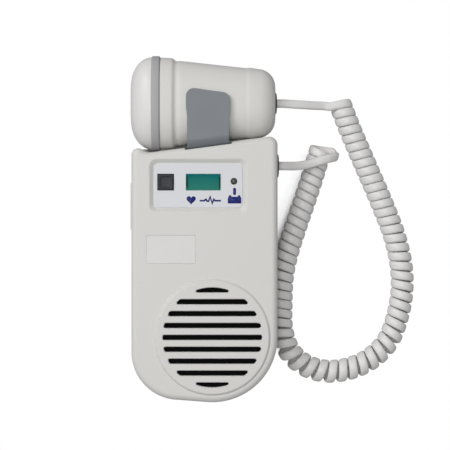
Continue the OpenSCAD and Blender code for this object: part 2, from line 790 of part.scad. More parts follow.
// One half shell: rings that run out along the outside and back along the inside
half_sides = 14;
function half_arc(x, hy, hz, up) = [for (i = [0 : half_sides]) let (a = i * 180 / half_sides)
    [x, probe_y + hy * superellipse(a, section_power),
        probe_z + up * hz * superellipse(a - 90, section_power)]];
function half_ring(o, i, up) = concat(half_arc(o[0], o[1], o[2], up),
    [for (k = [half_sides : -1 : 0]) half_arc(i[0], i[1], i[2], up)[k]]);
neck_s = 2.6;
module probe_half(up) {
    neck = [[cap_x - 2, head_r - neck_s, head_depth - neck_s],
        [head_x, head_r - neck_s, head_depth - neck_s]];
    neck_in = [for (p = neck) [p[0] + (p[0] == head_x ? probe_wall : 0), p[1] - probe_wall,
        p[2] - probe_wall]];
    out = shell_stations(0);
    in = shell_stations(probe_wall);
    last = len(in) - 1;
    // The inside ends at the seat of the cord gland
    seat = [tail_x1 - probe_wall, probe_gland_h / 2 + 0.1, gland_z_h / 2 + 0.1];
    rings = concat([for (k = [0, 1]) half_ring(neck[k], neck_in[k], up)],
        [for (k = [0 : last - 2]) half_ring(out[k], in[k], up)],
        [half_ring(out[last - 1], seat, up),
        half_ring(out[last], [tail_x1, seat[1], seat[2]], up)]);
    if (up > 0) loft(rings);
    else loft([for (k = [len(rings) - 1 : -1 : 0]) rings[k]]);
}
probe_post_d = 6;
probe_posts = [[step_x - 0.2, 0], [tail_x0 - 3.1, 0]];
probe_board_z = probe_z - 0.8;
probe_board_w = 22;
// Distance from the board's ends to the middle of the posts
probe_board_end = 4.2;

module probe_front_shell() {
    color(housing_col) difference() {
        union() {
            probe_half(1);
            for (p = probe_posts)
                translate([p[0], probe_y + p[1], probe_z])
                    cylinder(d = probe_post_d, h = handle_depth - probe_wall / 2, $fn = 32);
        }
        for (p = probe_posts)
            translate([p[0], probe_y + p[1], probe_z - over])
                cylinder(d = screw_d + 0.1, h = 8 + over, $fn = 24);
    }
}

module probe_rear_shell() {
    color(housing_col) difference() {
        union() {
            probe_half(-1);
            for (p = probe_posts)
                translate([p[0], probe_y + p[1], probe_z - handle_depth + probe_wall / 2])
                    cylinder(d = probe_post_d, h = handle_depth - probe_wall / 2, $fn = 32);
            // Ribs under the board
            for (x = [probe_posts[0][0] + 7.5, probe_posts[1][0] - 9])
                translate([x - 0.8, probe_y - probe_board_w / 2 + 1,
                        probe_z - handle_depth + 1])
                    cube([1.6, probe_board_w - 2, probe_board_z - probe_z + handle_depth - 1]);
        }
        for (p = probe_posts) translate([p[0], probe_y + p[1], -over]) {
            cylinder(d = screw_d + 0.2, h = probe_z + 2 * over, $fn = 24);
            cylinder(d = screw_head_d + 0.4, h = probe_head_z + over, $fn = 32);
        }
    }
}

probe_head_z = probe_z - handle_depth + 4;
module probe_screws() {
    color(metal_col) for (p = probe_posts) translate([p[0], probe_y, probe_head_z]) {
        translate([0, 0, -screw_head_h]) cylinder(d = screw_head_d, h = screw_head_h, $fn = 32);
        translate([0, 0, -slice])
            cylinder(d = screw_d, h = probe_z - probe_head_z + 7, $fn = 24);
    }
}

crystal_d = 20;
cap_front_t = 1.6;
crystal_t = 1.2;
backing_t = 5;
module probe_face_cap() {
    color("#dad9d7") difference() {
        loft([for (p = cap_stations(0)) probe_ring(p)]);
        translate([probe_x + cap_front_t, probe_y, probe_z]) rotate([0, 90, 0])
            cylinder(d = crystal_d + 0.4, h = cap_l + over, $fn = 64);
        // Room for the neck of the shells
        loft([for (x = [cap_x - 2.1, cap_x + over])
            probe_ring([x, head_r - neck_s + 0.15, head_depth - neck_s + 0.15])]);
    }
}

module probe_seal_band() {
    color("#a6a7aa") difference() {
        loft([for (p = [[0, -0.5], [0.6, 0], [band_l - 0.6, 0], [band_l, -0.5]])
            probe_ring([cap_x + p[0], band_r + p[1], head_depth + band_r - head_r + p[1]])]);
        loft([for (x = [cap_x - over, head_x + over])
            probe_ring([x, head_r - neck_s + 0.15, head_depth - neck_s + 0.15])]);
    }
}

// Two half discs, one sending and one receiving
module crystal_discs() {
    color("#c9b98a") translate([probe_x + cap_front_t, probe_y, probe_z]) rotate([0, 90, 0])
        difference() {
            cylinder(d = crystal_d, h = crystal_t, $fn = 64);
            translate([-crystal_d, -0.5, -over]) cube([2 * crystal_d, 1, 4]);
        }
}

module crystal_backing() {
    color("#54504a") translate([probe_x + cap_front_t + crystal_t, probe_y, probe_z])
        rotate([0, 90, 0]) cylinder(d = crystal_d, h = backing_t, $fn = 64);
}

module probe_board() {
    x0 = probe_posts[0][0] + probe_board_end;
    color(board_col) translate([x0, probe_y - probe_board_w / 2, probe_board_z])
        cube([probe_posts[1][0] - probe_board_end - x0, probe_board_w, board_t]);
}

module probe_cord_gland() {
    color(dark_col) gland(tail_x1 - gland_seat, probe_y, probe_z, probe_gland_h, 3.4);
}

// Cord. The curls lie on the table round the points of route
curl_r = (curl_d - cord_t) / 2;
curl_z = curl_d / 2 + 0.2;
route = [[70.5, 84.5], [76, 70.5], [84, 52], [92, 33.5], [99, 15], [102.5, -3],
    [101.5, -20], [96, -37], [87, -47], [76, -52.5], [63.5, -54.2], [52, -51], [43.8, -43.5],
    [40, -32.5], [39.6, -20], [40.2, -6], [42.5, 6], [47, 20.5], [53.5, 39.5], [60.2, 61]];

// A smooth curve through the points: place at u, where u counts the points
function span_point(a, b, c, d, t) = 0.5 * (2 * b + (c - a) * t
    + (2 * a - 5 * b + 4 * c - d) * t * t + (3 * b - a - 3 * c + d) * t * t * t);
function route_at(u) = let (n = len(route), i = min(n - 2, max(0, floor(u))), t = u - i,
    b = route[i], c = route[i + 1],
    a = i > 0 ? route[i - 1] : 2 * b - c,
    d = i < n - 2 ? route[i + 2] : 2 * c - b) span_point(a, b, c, d, t);
route_steps = 12 * (len(route) - 1);
line = [for (k = [0 : route_steps]) route_at(k / 12)];
seg = [for (k = [0 : route_steps - 1]) norm(line[k + 1] - line[k])];
function turn(a, b) = (a[0] * b[1] - a[1] * b[0]) / (norm(a) * norm(b));
// Curvature of the route at each step, smoothed over its neighbours
bend = [for (k = [0 : route_steps]) let (k0 = max(0, k - 6), k1 = min(route_steps, k + 6),
    km = min(route_steps - 1, max(1, k)))
    abs(turn(line[km] - line[k0], line[k1] - line[km]))
        * 2 / max(0.001, norm(line[k1] - line[k0]))];
// Curls per millimetre fall where the route bends, so that their inner sides keep apart
function curl_rate(k) = 1 / ((cord_w + curl_gap) / (1 - min(0.5, bend[k] * curl_d / 2)));
function running(v, k = 0, sum = 0) = k >= len(v) ? [sum]
    : concat([sum], running(v, k + 1, sum + v[k]));
turns = running([for (k = [0 : route_steps - 1])
    seg[k] * (curl_rate(k) + curl_rate(k + 1)) / 2]);
// The curls start on top of the first turn and end under the last one
curl_turns = curl_count + 0.5;
turn_table = [for (k = [0 : route_steps])
    [turns[k] * curl_turns / turns[route_steps], k / 12]];
rings_per_curl = 8;

function unit(v) = v / norm(v);
function curl_place(f) = let (u = lookup(f, turn_table), c = route_at(u),
    t = unit(route_at(u + 0.02) - route_at(u - 0.02)))
    [c[0] - curl_r * sin(360 * f) * t[1], c[1] + curl_r * sin(360 * f) * t[0],
        curl_z + curl_r * cos(360 * f)];
function curl_axis(f) = let (u = lookup(f, turn_table),
    t = unit(route_at(u + 0.02) - route_at(u - 0.02))) [t[0], t[1], 0];
// Direction of the cord, worked out on a short stretch that stays inside the curls
function curl_along(f) = let (f0 = max(0, f - 0.02), f1 = min(curl_turns, f + 0.02))
    unit(curl_place(f1) - curl_place(f0));

// Flat cord section round p: w across, t thick, square to the direction along
cord_six = [[0.5, 0], [0.3, 0.5], [-0.3, 0.5], [-0.5, 0], [-0.3, -0.5], [0.3, -0.5]];
cord_eight = [[0.5, 0.2], [0.36, 0.5], [-0.36, 0.5], [-0.5, 0.2],
    [-0.5, -0.2], [-0.36, -0.5], [0.36, -0.5], [0.5, -0.2]];
function cord_ring(p, along, across, shape) = let (a = unit(across - (across * along) * along),
    b = cross(along, a)) [for (q = shape) p + q[0] * cord_w * a + q[1] * cord_t * b];

curl_rings = let (n = round(curl_turns * rings_per_curl)) concat(
    [cord_ring(curl_place(0) - cord_w * curl_along(0), curl_along(0), curl_axis(0), cord_six)],
    [for (j = [0 : n]) let (f = j / rings_per_curl)
        cord_ring(curl_place(f), curl_along(f), curl_axis(f), cord_six)],
    [cord_ring(curl_place(curl_turns) + cord_w * curl_along(curl_turns),
        curl_along(curl_turns), curl_axis(curl_turns), cord_six)]);

// Least distance from the points of each ring to those of the next curl
least_gap = min([for (j = [1 : len(curl_rings) - rings_per_curl - 3],
    m = [rings_per_curl - 2 : rings_per_curl + 2], a = curl_rings[j])
    if (j + m < len(curl_rings)) for (b = curl_rings[j + m]) norm(a - b)]);
echo(curls = curl_count, least_gap_mm = least_gap);

// Triangles of a tube through rings, closed at both ends
module cord_tube(rings) {
    n = len(rings[0]);
    m = len(rings);
    sides = [for (k = [0 : m - 2], i = [0 : n - 1]) each [
        [k * n + i, (k + 1) * n + i, k * n + (i + 1) % n],
        [k * n + (i + 1) % n, (k + 1) * n + i, (k + 1) * n + (i + 1) % n]]];
    ends = [for (i = [1 : n - 2]) each [[0, i, i + 1],
        [(m - 1) * n, (m - 1) * n + i + 1, (m - 1) * n + i]]];
    polyhedron(points = [for (ring = rings) each ring], faces = concat(sides, ends),
        convexity = 10);
}

// Leads: each runs on a smooth curve through its points
curl_start = curl_place(0) - cord_w * curl_along(0);
curl_end = curl_place(curl_turns) + cord_w * curl_along(curl_turns);
probe_exit = [tail_x1 - gland_seat + gland_t, probe_y, probe_z];
unit_exit = [half_w - gland_seat + gland_t, unit_gland_y, unit_gland_z];
probe_lead = [probe_exit, probe_exit + [4, 0, 0], [46, 84, 17.4], [51, 83.8, 16],
    [56, 83.6, 13.8], [61, 83.6, 11.6], curl_start - 2 * curl_along(0), curl_start];
// The lead leaves the curls straight on, and only then climbs
unit_lead = [curl_end, curl_end + curl_along(curl_turns),
    curl_end + 2 * curl_along(curl_turns) + [0, 0, 0.35], [67.5, 58.3, 3.6], [68.2, 57.6, 6.6],
    [67.4, 57, 10], [64.8, 56.4, 13], [61, 55.5, 14.4], [56, 54, 15],
    [51, 52.8, 16.4], [46, 52.2, 19], unit_exit + [4, 0, 0], unit_exit];

function lead_at(v, u) = let (n = len(v), i = min(n - 2, floor(u)), t = u - i,
    b = v[i], c = v[i + 1], a = i > 0 ? v[i - 1] : 2 * b - c,
    d = i < n - 2 ? v[i + 2] : 2 * c - b) span_point(a, b, c, d, t);
module lead(v, across) {
    n = len(v) - 1;
    cord_tube([for (k = [0 : 3 * n]) let (u = k / 3,
        along = unit(lead_at(v, min(n, u + 0.02)) - lead_at(v, max(0, u - 0.02))))
        cord_ring(lead_at(v, u), along, across, cord_eight)]);
}

module cord_lead_probe() { color("#c4c4c3") lead(probe_lead, curl_axis(0)); }
module cord_curl() { color("#c4c4c3") cord_tube(curl_rings); }
module cord_lead_unit() { color("#c4c4c3") lead(unit_lead, curl_axis(curl_turns)); }

front_housing();
rear_housing();
panel_overlay();
display_lens();
lcd_module();
mode_button();
button_switch();
status_led();
grille_screen();
speaker_gasket();
speaker_frame();
speaker_cone();
speaker_magnet();
main_board();
battery();
battery_snap();
battery_door();
volume_rocker();
rocker_pin();
rocker_switches();
probe_clip();
clip_screws();
housing_screws();
unit_cord_gland();
probe_front_shell();
probe_rear_shell();
probe_face_cap();
probe_seal_band();
crystal_discs();
crystal_backing();
probe_board();
probe_screws();
probe_cord_gland();
cord_lead_probe();
cord_curl();
cord_lead_unit();
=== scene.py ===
# Pocket fetal doppler: the looks of every piece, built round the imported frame. Metres.
import math

import bmesh
import bpy
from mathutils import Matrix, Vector


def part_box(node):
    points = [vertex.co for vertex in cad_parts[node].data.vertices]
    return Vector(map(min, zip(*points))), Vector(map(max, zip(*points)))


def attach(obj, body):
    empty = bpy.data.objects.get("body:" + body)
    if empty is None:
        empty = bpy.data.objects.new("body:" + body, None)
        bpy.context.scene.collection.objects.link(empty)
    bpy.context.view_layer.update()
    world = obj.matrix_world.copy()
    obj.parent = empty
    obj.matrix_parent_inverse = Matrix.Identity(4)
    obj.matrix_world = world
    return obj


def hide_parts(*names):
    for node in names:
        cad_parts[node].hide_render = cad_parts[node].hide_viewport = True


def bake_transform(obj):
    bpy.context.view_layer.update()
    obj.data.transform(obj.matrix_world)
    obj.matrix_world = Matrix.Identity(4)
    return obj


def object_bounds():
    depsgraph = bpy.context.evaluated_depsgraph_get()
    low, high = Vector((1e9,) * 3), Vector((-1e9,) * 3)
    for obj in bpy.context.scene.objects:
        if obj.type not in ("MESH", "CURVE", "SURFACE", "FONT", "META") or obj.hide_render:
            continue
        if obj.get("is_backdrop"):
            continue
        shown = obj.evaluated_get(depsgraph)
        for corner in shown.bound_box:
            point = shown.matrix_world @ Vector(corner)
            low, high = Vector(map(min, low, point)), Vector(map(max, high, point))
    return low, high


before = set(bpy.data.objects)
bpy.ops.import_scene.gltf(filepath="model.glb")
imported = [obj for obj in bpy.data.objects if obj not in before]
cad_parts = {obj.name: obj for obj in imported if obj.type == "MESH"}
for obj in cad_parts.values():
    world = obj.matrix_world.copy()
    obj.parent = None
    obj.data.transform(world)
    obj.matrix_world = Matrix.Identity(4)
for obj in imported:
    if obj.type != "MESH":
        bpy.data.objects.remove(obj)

CAD_BOUNDS = [list(map(float, corner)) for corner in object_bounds()]
MM = 0.001

# ---------------------------------------------------------------- camera
# The photograph looks straight down on the unit, which lies on its back.
VIEW_X = 10.38
VIEW_Y = 21.93
VIEW_Z = 900.0
LENS = 137.3

camera_data = bpy.data.cameras.new("camera")
camera_data.sensor_width = 36.0
camera_data.lens = LENS
camera_data.clip_start = 0.05
camera_data.clip_end = 20.0
camera = bpy.data.objects.new("camera", camera_data)
camera.location = (VIEW_X * MM, VIEW_Y * MM, VIEW_Z * MM)
bpy.context.collection.objects.link(camera)
bpy.context.scene.camera = camera


# ---------------------------------------------------------------- mesh helpers
def piece(name, verts, faces, smooth=True):
    """A mesh object at the origin, from points in millimetres."""
    mesh = bpy.data.meshes.new(name)
    mesh.from_pydata([tuple(c * MM for c in v) for v in verts], [], faces)
    mesh.validate()
    obj = bpy.data.objects.new(name, mesh)
    bpy.context.collection.objects.link(obj)
    for poly in mesh.polygons:
        poly.use_smooth = smooth
    return obj


def clean(obj):
    """Merge doubles and turn the faces outwards."""
    work = bmesh.new()
    work.from_mesh(obj.data)
    bmesh.ops.remove_doubles(work, verts=work.verts, dist=2e-6)
    bmesh.ops.recalc_face_normals(work, faces=work.faces)
    work.to_mesh(obj.data)
    work.free()
    return obj


def loft(name, rings):
    """A solid through rings of points, closed at both ends."""
    count = len(rings[0])
    verts = [p for ring in rings for p in ring]
    last = len(rings) - 1
    faces = []
    for k in range(last):
        a, b = k * count, (k + 1) * count
        for i in range(count):
            j = (i + 1) % count
            faces.append((a + i, a + j, b + j, b + i))
    faces.append(tuple(range(count))[::-1])
    faces.append(tuple(last * count + i for i in range(count)))
    return clean(piece(name, verts, faces))


def apply_modifiers(obj):
    """Turn the modified shape into a plain mesh."""
    graph = bpy.context.evaluated_depsgraph_get()
    graph.update()
    mesh = bpy.data.meshes.new_from_object(obj.evaluated_get(graph))
    obj.modifiers.clear()
    old = obj.data
    obj.data = mesh
    bpy.data.meshes.remove(old)
    return obj


def drop(obj):
    mesh = obj.data
    bpy.data.objects.remove(obj)
    if mesh.users == 0:
        bpy.data.meshes.remove(mesh)


def combine(obj, tool, operation="DIFFERENCE"):
    """Cut, join or intersect obj with tool, which is used up."""
    step = obj.modifiers.new("combine", "BOOLEAN")
    step.operation = operation
    step.solver = "EXACT"
    step.object = tool
    apply_modifiers(obj)
    drop(tool)
    return obj


def soften(obj, width, angle=35.0, segments=3):
    """Round the sharp edges and shade the rest smooth."""
    step = obj.modifiers.new("edges", "BEVEL")
    step.width = width * MM
    step.segments = segments
    step.limit_method = "ANGLE"
    step.angle_limit = math.radians(angle)
    step.harden_normals = False
    step.use_clamp_overlap = True
    apply_modifiers(obj)
    shade(obj)
    level_out = obj.modifiers.new("flat_faces", "WEIGHTED_NORMAL")
    level_out.keep_sharp = True
    level_out.weight = 60
    return apply_modifiers(obj)


def shade(obj, angle=30.0):
    """Smooth shading, with edges sharper than angle kept crisp."""
    mesh = obj.data
    for poly in mesh.polygons:
        poly.use_smooth = True
    mesh.set_sharp_from_angle(angle=math.radians(angle))
    return obj


def prism(name, outline, z0, z1):
    """A straight block with the given outline, in millimetres."""
    return loft(name, [[(x, y, z0) for x, y in outline], [(x, y, z1) for x, y in outline]])


def arc(cx, cy, r, a0, a1, n):
    return [(cx + r * math.cos(math.radians(a0 + (a1 - a0) * i / n)),
             cy + r * math.sin(math.radians(a0 + (a1 - a0) * i / n))) for i in range(n + 1)]


def rounded(cx, cy, w, h, r, n=6):
    """Rectangle with round corners."""
    x, y = w / 2 - r, h / 2 - r
    return (arc(cx + x, cy + y, r, 0, 90, n) + arc(cx - x, cy + y, r, 90, 180, n)
            + arc(cx - x, cy - y, r, 180, 270, n) + arc(cx + x, cy - y, r, 270, 360, n))


def disc(cx, cy, r, n=64):
    return arc(cx, cy, r, 0, 360 * (n - 1) / n, n - 1)


# ---------------------------------------------------------------- nodes
def add_node(tree, kind, at, **values):
    """One node, with its settings and its unlinked inputs."""
    node = tree.nodes.new(kind)
    node.location = at
    for key, value in values.items():
        if hasattr(node, key):
            setattr(node, key, value)
        else:
            node.inputs[key.replace("_", " ")].default_value = value
    return node


# ---------------------------------------------------------------- materials
def linear(code):
    """sRGB hex colour as linear RGBA."""
    out = []
    for k in (1, 3, 5):
        c = int(code[k:k + 2], 16) / 255
        out.append(c / 12.92 if c <= 0.04045 else ((c + 0.055) / 1.055) ** 2.4)
    return (*out, 1.0)


# Half of the range that a surface's roughness drifts over
DRIFT = 0.03


def material(name, colour, rough=0.45, vary=0.03, grain=0.0, depth=0.02, metal=0.0, coat=0.0,
             shine=0.5, patch=12.0):
    """Principled surface whose colour and roughness drift a little over the piece.

    shine is the level of its mirror reflection, 0.5 for a plain plastic.

    patch and grain are the sizes of the drift and of the moulded texture, in millimetres.
    """
    mat = bpy.data.materials.new(name)
    mat.use_nodes = True
    tree = mat.node_tree
    tree.nodes.clear()
    out = add_node(tree, "ShaderNodeOutputMaterial", (600, 0))
    shader = add_node(tree, "ShaderNodeBsdfPrincipled", (300, 0), Metallic=metal,
                      Coat_Weight=coat, Specular_IOR_Level=shine)
    tree.links.new(shader.outputs["BSDF"], out.inputs["Surface"])
    place = add_node(tree, "ShaderNodeTexCoord", (-900, 0))
    drift = add_node(tree, "ShaderNodeTexNoise", (-650, 100), Scale=1 / (patch * MM), Detail=3.0)
    tree.links.new(place.outputs["Object"], drift.inputs["Vector"])
    base = linear(colour)
    dark = tuple(c * (1 - vary) for c in base[:3]) + (1.0,)
    light = tuple(min(1.0, c * (1 + vary)) for c in base[:3]) + (1.0,)
    ramp = add_node(tree, "ShaderNodeMix", (-300, 150), data_type="RGBA")
    ramp.inputs[6].default_value = dark
    ramp.inputs[7].default_value = light
    tree.links.new(drift.outputs["Fac"], ramp.inputs[0])
    tree.links.new(ramp.outputs[2], shader.inputs["Base Color"])
    finish = add_node(tree, "ShaderNodeMapRange", (-300, -100), From_Min=0.3, From_Max=0.7,
                      To_Min=max(0.02, rough - DRIFT), To_Max=min(1.0, rough + DRIFT))
    tree.links.new(drift.outputs["Fac"], finish.inputs["Value"])
    tree.links.new(finish.outputs["Result"], shader.inputs["Roughness"])
    if grain:
        fine = add_node(tree, "ShaderNodeTexNoise", (-650, -300), Scale=1 / (grain * MM),
                        Detail=2.0)
        tree.links.new(place.outputs["Object"], fine.inputs["Vector"])
        bump = add_node(tree, "ShaderNodeBump", (0, -300), Strength=1.0, Distance=depth * MM)
        tree.links.new(fine.outputs["Fac"], bump.inputs["Height"])
        tree.links.new(bump.outputs["Normal"], shader.inputs["Normal"])
    return mat


# ---------------------------------------------------------------- repeats
def repeat_group():
    """Copies of one object along a line; inputs are the object, the step and the count."""
    tree = bpy.data.node_groups.new("row_of_copies", "GeometryNodeTree")
    face = tree.interface
    face.new_socket("Geometry", in_out="INPUT", socket_type="NodeSocketGeometry")
    face.new_socket("Step", in_out="INPUT", socket_type="NodeSocketVector")
    face.new_socket("Count", in_out="INPUT", socket_type="NodeSocketInt")
    face.new_socket("Material", in_out="INPUT", socket_type="NodeSocketMaterial")
    face.new_socket("Geometry", in_out="OUTPUT", socket_type="NodeSocketGeometry")
    source = add_node(tree, "NodeGroupInput", (-600, 0))
    line = add_node(tree, "GeometryNodeMeshLine", (-400, 100))
    copies = add_node(tree, "GeometryNodeInstanceOnPoints", (-200, 0))
    real = add_node(tree, "GeometryNodeRealizeInstances", (0, 0))
    finish = add_node(tree, "GeometryNodeSetMaterial", (200, 0))
    result = add_node(tree, "NodeGroupOutput", (400, 0))
    for a, out, b, into in [(source, "Count", line, "Count"), (source, "Step", line, "Offset"),
                            (line, "Mesh", copies, "Points"),
                            (source, "Geometry", copies, "Instance"),
                            (copies, "Instances", real, "Geometry"),
                            (real, "Geometry", finish, "Geometry"),
                            (source, "Material", finish, "Material"),
                            (finish, "Geometry", result, "Geometry")]:
        tree.links.new(a.outputs[out], b.inputs[into])
    return tree


ROW = repeat_group()


def repeat(name, obj, step, count, material=None):
    """Bake a row of copies of obj, which becomes the row."""
    modifier = obj.modifiers.new("row", "NODES")
    modifier.node_group = ROW
    sockets = {item.name: item.identifier for item in ROW.interface.items_tree
               if item.in_out == "INPUT"}
    modifier[sockets["Step"]] = step
    modifier[sockets["Count"]] = count
    modifier[sockets["Material"]] = material
    obj.name = name
    return apply_modifiers(obj)


# ---------------------------------------------------------------- cord
# The flat cord's own sizes, and the points that its curls lie round, on the table
CORD_W = 4.42
CORD_T = 2.7
CURL_D = 12.0
CURL_COUNT = 59
CURL_GAP = 0.5
PITCH_W = 4.1
ROUTE = [(70.5, 84.5), (76, 70.5), (84, 52), (92, 33.5), (99, 15), (102.5, -3), (101.5, -20),
         (96, -37), (87, -47), (76, -52.5), (63.5, -54.2), (52, -51), (43.8, -43.5),
         (40, -32.5), (39.6, -20), (40.2, -6), (42.5, 6), (47, 20.5), (53.5, 39.5), (60.2, 61)]
PROBE_LEAD = [(46, 84, 17.4), (51, 83.8, 16), (56, 83.6, 13.8), (61, 83.6, 11.6)]
UNIT_LEAD = [(67.5, 58.3, 3.6), (68.2, 57.6, 6.6), (67.4, 57, 10), (64.8, 56.4, 13),
             (61, 55.5, 14.4), (56, 54, 15), (51, 52.8, 16.4), (46, 52.2, 19)]
RINGS_A_CURL = 28
CURL_R = (CURL_D - CORD_T) / 2
CURL_Z = CURL_D / 2 + 0.2


def spline_at(points, u):
    """Place at u on a smooth curve through the points, where u counts them."""
    n = len(points)
    i = min(n - 2, max(0, math.floor(u)))
    t = u - i
    b, c = Vector(points[i]), Vector(points[i + 1])
    a = Vector(points[i - 1]) if i > 0 else 2 * b - c
    d = Vector(points[i + 2]) if i < n - 2 else 2 * c - b
    return 0.5 * (2 * b + (c - a) * t + (2 * a - 5 * b + 4 * c - d) * t * t
                  + (3 * b - a - 3 * c + d) * t ** 3)


def turn_table():
    """Curls counted along the route, fewer where it bends."""
    steps = 12 * (len(ROUTE) - 1)
    line = [spline_at(ROUTE, k / 12) for k in range(steps + 1)]
    rate = []
    for k in range(steps + 1):
        k0, k1, km = max(0, k - 6), min(steps, k + 6), min(steps - 1, max(1, k))
        a, b = line[km] - line[k0], line[k1] - line[km]
        sine = abs(a.x * b.y - a.y * b.x) / (a.length * b.length)
        bend = 2 * sine / max(0.001, (line[k1] - line[k0]).length)
        rate.append((1 - min(0.5, bend * CURL_D / 2)) / (PITCH_W + CURL_GAP))
    turns = [0.0]
    for k in range(steps):
        turns.append(turns[-1] + (line[k + 1] - line[k]).length * (rate[k] + rate[k + 1]) / 2)
    whole = CURL_COUNT + 0.5
    return [(t * whole / turns[-1], k / 12) for k, t in enumerate(turns)]


TURNS = turn_table()


def route_u(f):
    """Place along the route, in its points, after f curls."""
    for (f0, u0), (f1, u1) in zip(TURNS, TURNS[1:]):
        if f <= f1:
            return u0 + (u1 - u0) * (f - f0) / (f1 - f0)
    return TURNS[-1][1]


def curl_axis(f):
    """Level direction of the coil after f curls."""
    u = route_u(f)
    t = (spline_at(ROUTE, u + 0.02) - spline_at(ROUTE, u - 0.02)).normalized()
    return Vector((t.x, t.y, 0))


def curl_place(f):
    """Middle of the cord after f curls."""
    c = spline_at(ROUTE, route_u(f))
    t = curl_axis(f)
    a = 2 * math.pi * f
    return Vector((c.x - CURL_R * math.sin(a) * t.y, c.y + CURL_R * math.sin(a) * t.x,
                   CURL_Z + CURL_R * math.cos(a)))


def low_corner(node, axis):
    """Lowest reach of a CAD node on one axis, in millimetres."""
    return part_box(node)[0][axis] / MM


def high_corner(node, axis):
    """Highest reach of a CAD node on one axis, in millimetres."""
    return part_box(node)[1][axis] / MM


def gland_face(node):
    """Middle of a gland's outer face, where the cord leaves it."""
    return Vector((high_corner(node, 0), (low_corner(node, 1) + high_corner(node, 1)) / 2,
                   (low_corner(node, 2) + high_corner(node, 2)) / 2))


def make_cord():
    """One tube from the probe's gland through the curls to the unit's gland."""
    whole = CURL_COUNT + 0.5
    start, end = curl_place(0), curl_place(whole)
    along0 = (curl_place(0.02) - start).normalized()
    along1 = (end - curl_place(whole - 0.02)).normalized()
    out_probe, out_unit = gland_face("probe_cord_gland"), gland_face("unit_cord_gland")
    first = [out_probe, out_probe + Vector((4, 0, 0))] + [Vector(p) for p in PROBE_LEAD]
    first += [start - (PITCH_W + 2) * along0, start - PITCH_W * along0]
    last = [end + PITCH_W * along1, end + (PITCH_W + 1) * along1,
            end + (PITCH_W + 2) * along1 + Vector((0, 0, 0.35))]
    last += [Vector(p) for p in UNIT_LEAD] + [out_unit + Vector((4, 0, 0)), out_unit]
    path, across = [], []
    for k in range(8 * (len(first) - 1)):
        path.append(spline_at(first, k / 8))
        across.append(curl_axis(0))
    for f in (0.0, 0.5):
        path.append(start - PITCH_W * (1 - f) * along0)
        across.append(curl_axis(0))
    for j in range(int(whole * RINGS_A_CURL) + 1):
        path.append(curl_place(j / RINGS_A_CURL))
        across.append(curl_axis(j / RINGS_A_CURL))
    path.append(end + PITCH_W * 0.5 * along1)
    across.append(curl_axis(whole))
    for k in range(8 * (len(last) - 1) + 1):
        path.append(spline_at(last, k / 8))
        across.append(curl_axis(whole))
    # Flat section with full round edges and slightly crowned faces
    sides = 16
    section = []
    for i in range(sides):
        a = 2 * math.pi * (i + 0.5) / sides
        c, s = math.cos(a), math.sin(a)
        section.append((CORD_W / 2 * math.copysign(abs(c) ** 0.62, c),
                        CORD_T / 2 * math.copysign(abs(s) ** 0.74, s)))
    rings, run = [], [0.0]
    for k, p in enumerate(path):
        ahead = path[min(len(path) - 1, k + 1)] - path[max(0, k - 1)]
        along = ahead.normalized()
        a = (across[k] - across[k].dot(along) * along).normalized()
        b = along.cross(a)
        rings.append([p + q[0] * a + q[1] * b for q in section])
        if k:
            run.append(run[-1] + (p - path[k - 1]).length)
    obj = loft("curly_cord", [[tuple(v) for v in ring] for ring in rings])
    return obj, path, run


cord, cord_path, cord_run = make_cord()


# ---------------------------------------------------------------- housing
UNIT_W = 74.0
UNIT_T = 34.0
UNIT_TOP = 66.7
HALF_W = UNIT_W / 2
TOP_SLOPE = 7.6
TOP_R = 4.3
FOOT_R = 24.3
FOOT_RISE = 1.2
SPEAKER = (4.0, -34.8)
SIDE_R = HALF_W - SPEAKER[0]
PARTING_Z = 17.0
WALL = 2.2
FRONT_ROUND = 3.0
BACK_ROUND = 2.4
BACK_Z = 0.8
REST = (25.0, -38.0, 58.5, 0.4)
BACK_INSET = 8.5
TAPER_Z = 16.0
LIP_RISE, LIP_R, LIP_FLANK, DIP_R = 2.9, 3.4, 56.0, 6.0
TOP_TAN = math.tan(math.radians(TOP_SLOPE))
TOP_RIGHT_Y = UNIT_TOP - TOP_R
PANEL = (-3.1, 41.8)
PANEL_W, PANEL_H, PANEL_DEPTH, PANEL_BORDER = 45.0, 22.6, 1.5, 2.4
PANEL_Z = UNIT_T - PANEL_DEPTH
PANEL_UNDER_Z = PANEL_Z - 2.1
OVERLAY_Z = PANEL_Z + 0.4
WINDOW = (-0.6, 43.6)
WINDOW_W, WINDOW_H = 17.6, 8.4
BUTTON = (-19.6, 43.6)
BUTTON_S = 8.1
LED = (14.9, 44.0)
LED_D = 3.0
GRILLE_D = 56.8
GRILLE_Z = 35.0
GRILLE_UNDER_Z = 32.4
SLOT_FIELD_D = 50.4
SLOT_COUNT, SLOT_PITCH, SLOT_H = 9, 6.0, 2.6
ROCKER_Y, ROCKER_Z, ROCKER_L, ROCKER_H, ROCKER_RISE = 31.4, 21.0, 25.0, 6.0, 0.9
SCREWS = [(-21.5, 54.5), (21.5, 54.5), (-21.5, -5.0), (21.5, -5.0)]


def top_edge(x):
    """Height of the sloping top edge."""
    rise = TOP_R / math.cos(math.radians(TOP_SLOPE))
    return TOP_RIGHT_Y + rise - (HALF_W - TOP_R - x) * TOP_TAN


FOOT_LEFT = (-HALF_W + FOOT_R, SPEAKER[1] - SIDE_R + FOOT_RISE + FOOT_R)
FOOT_A = (270 + math.degrees(math.atan2(SPEAKER[1] - FOOT_LEFT[1], SPEAKER[0] - FOOT_LEFT[0]))
          - math.degrees(math.asin((SIDE_R - FOOT_R) / math.dist(SPEAKER, FOOT_LEFT))))


def toward(p, a):
    return p[0] * math.cos(math.radians(a)) + p[1] * math.sin(math.radians(a))


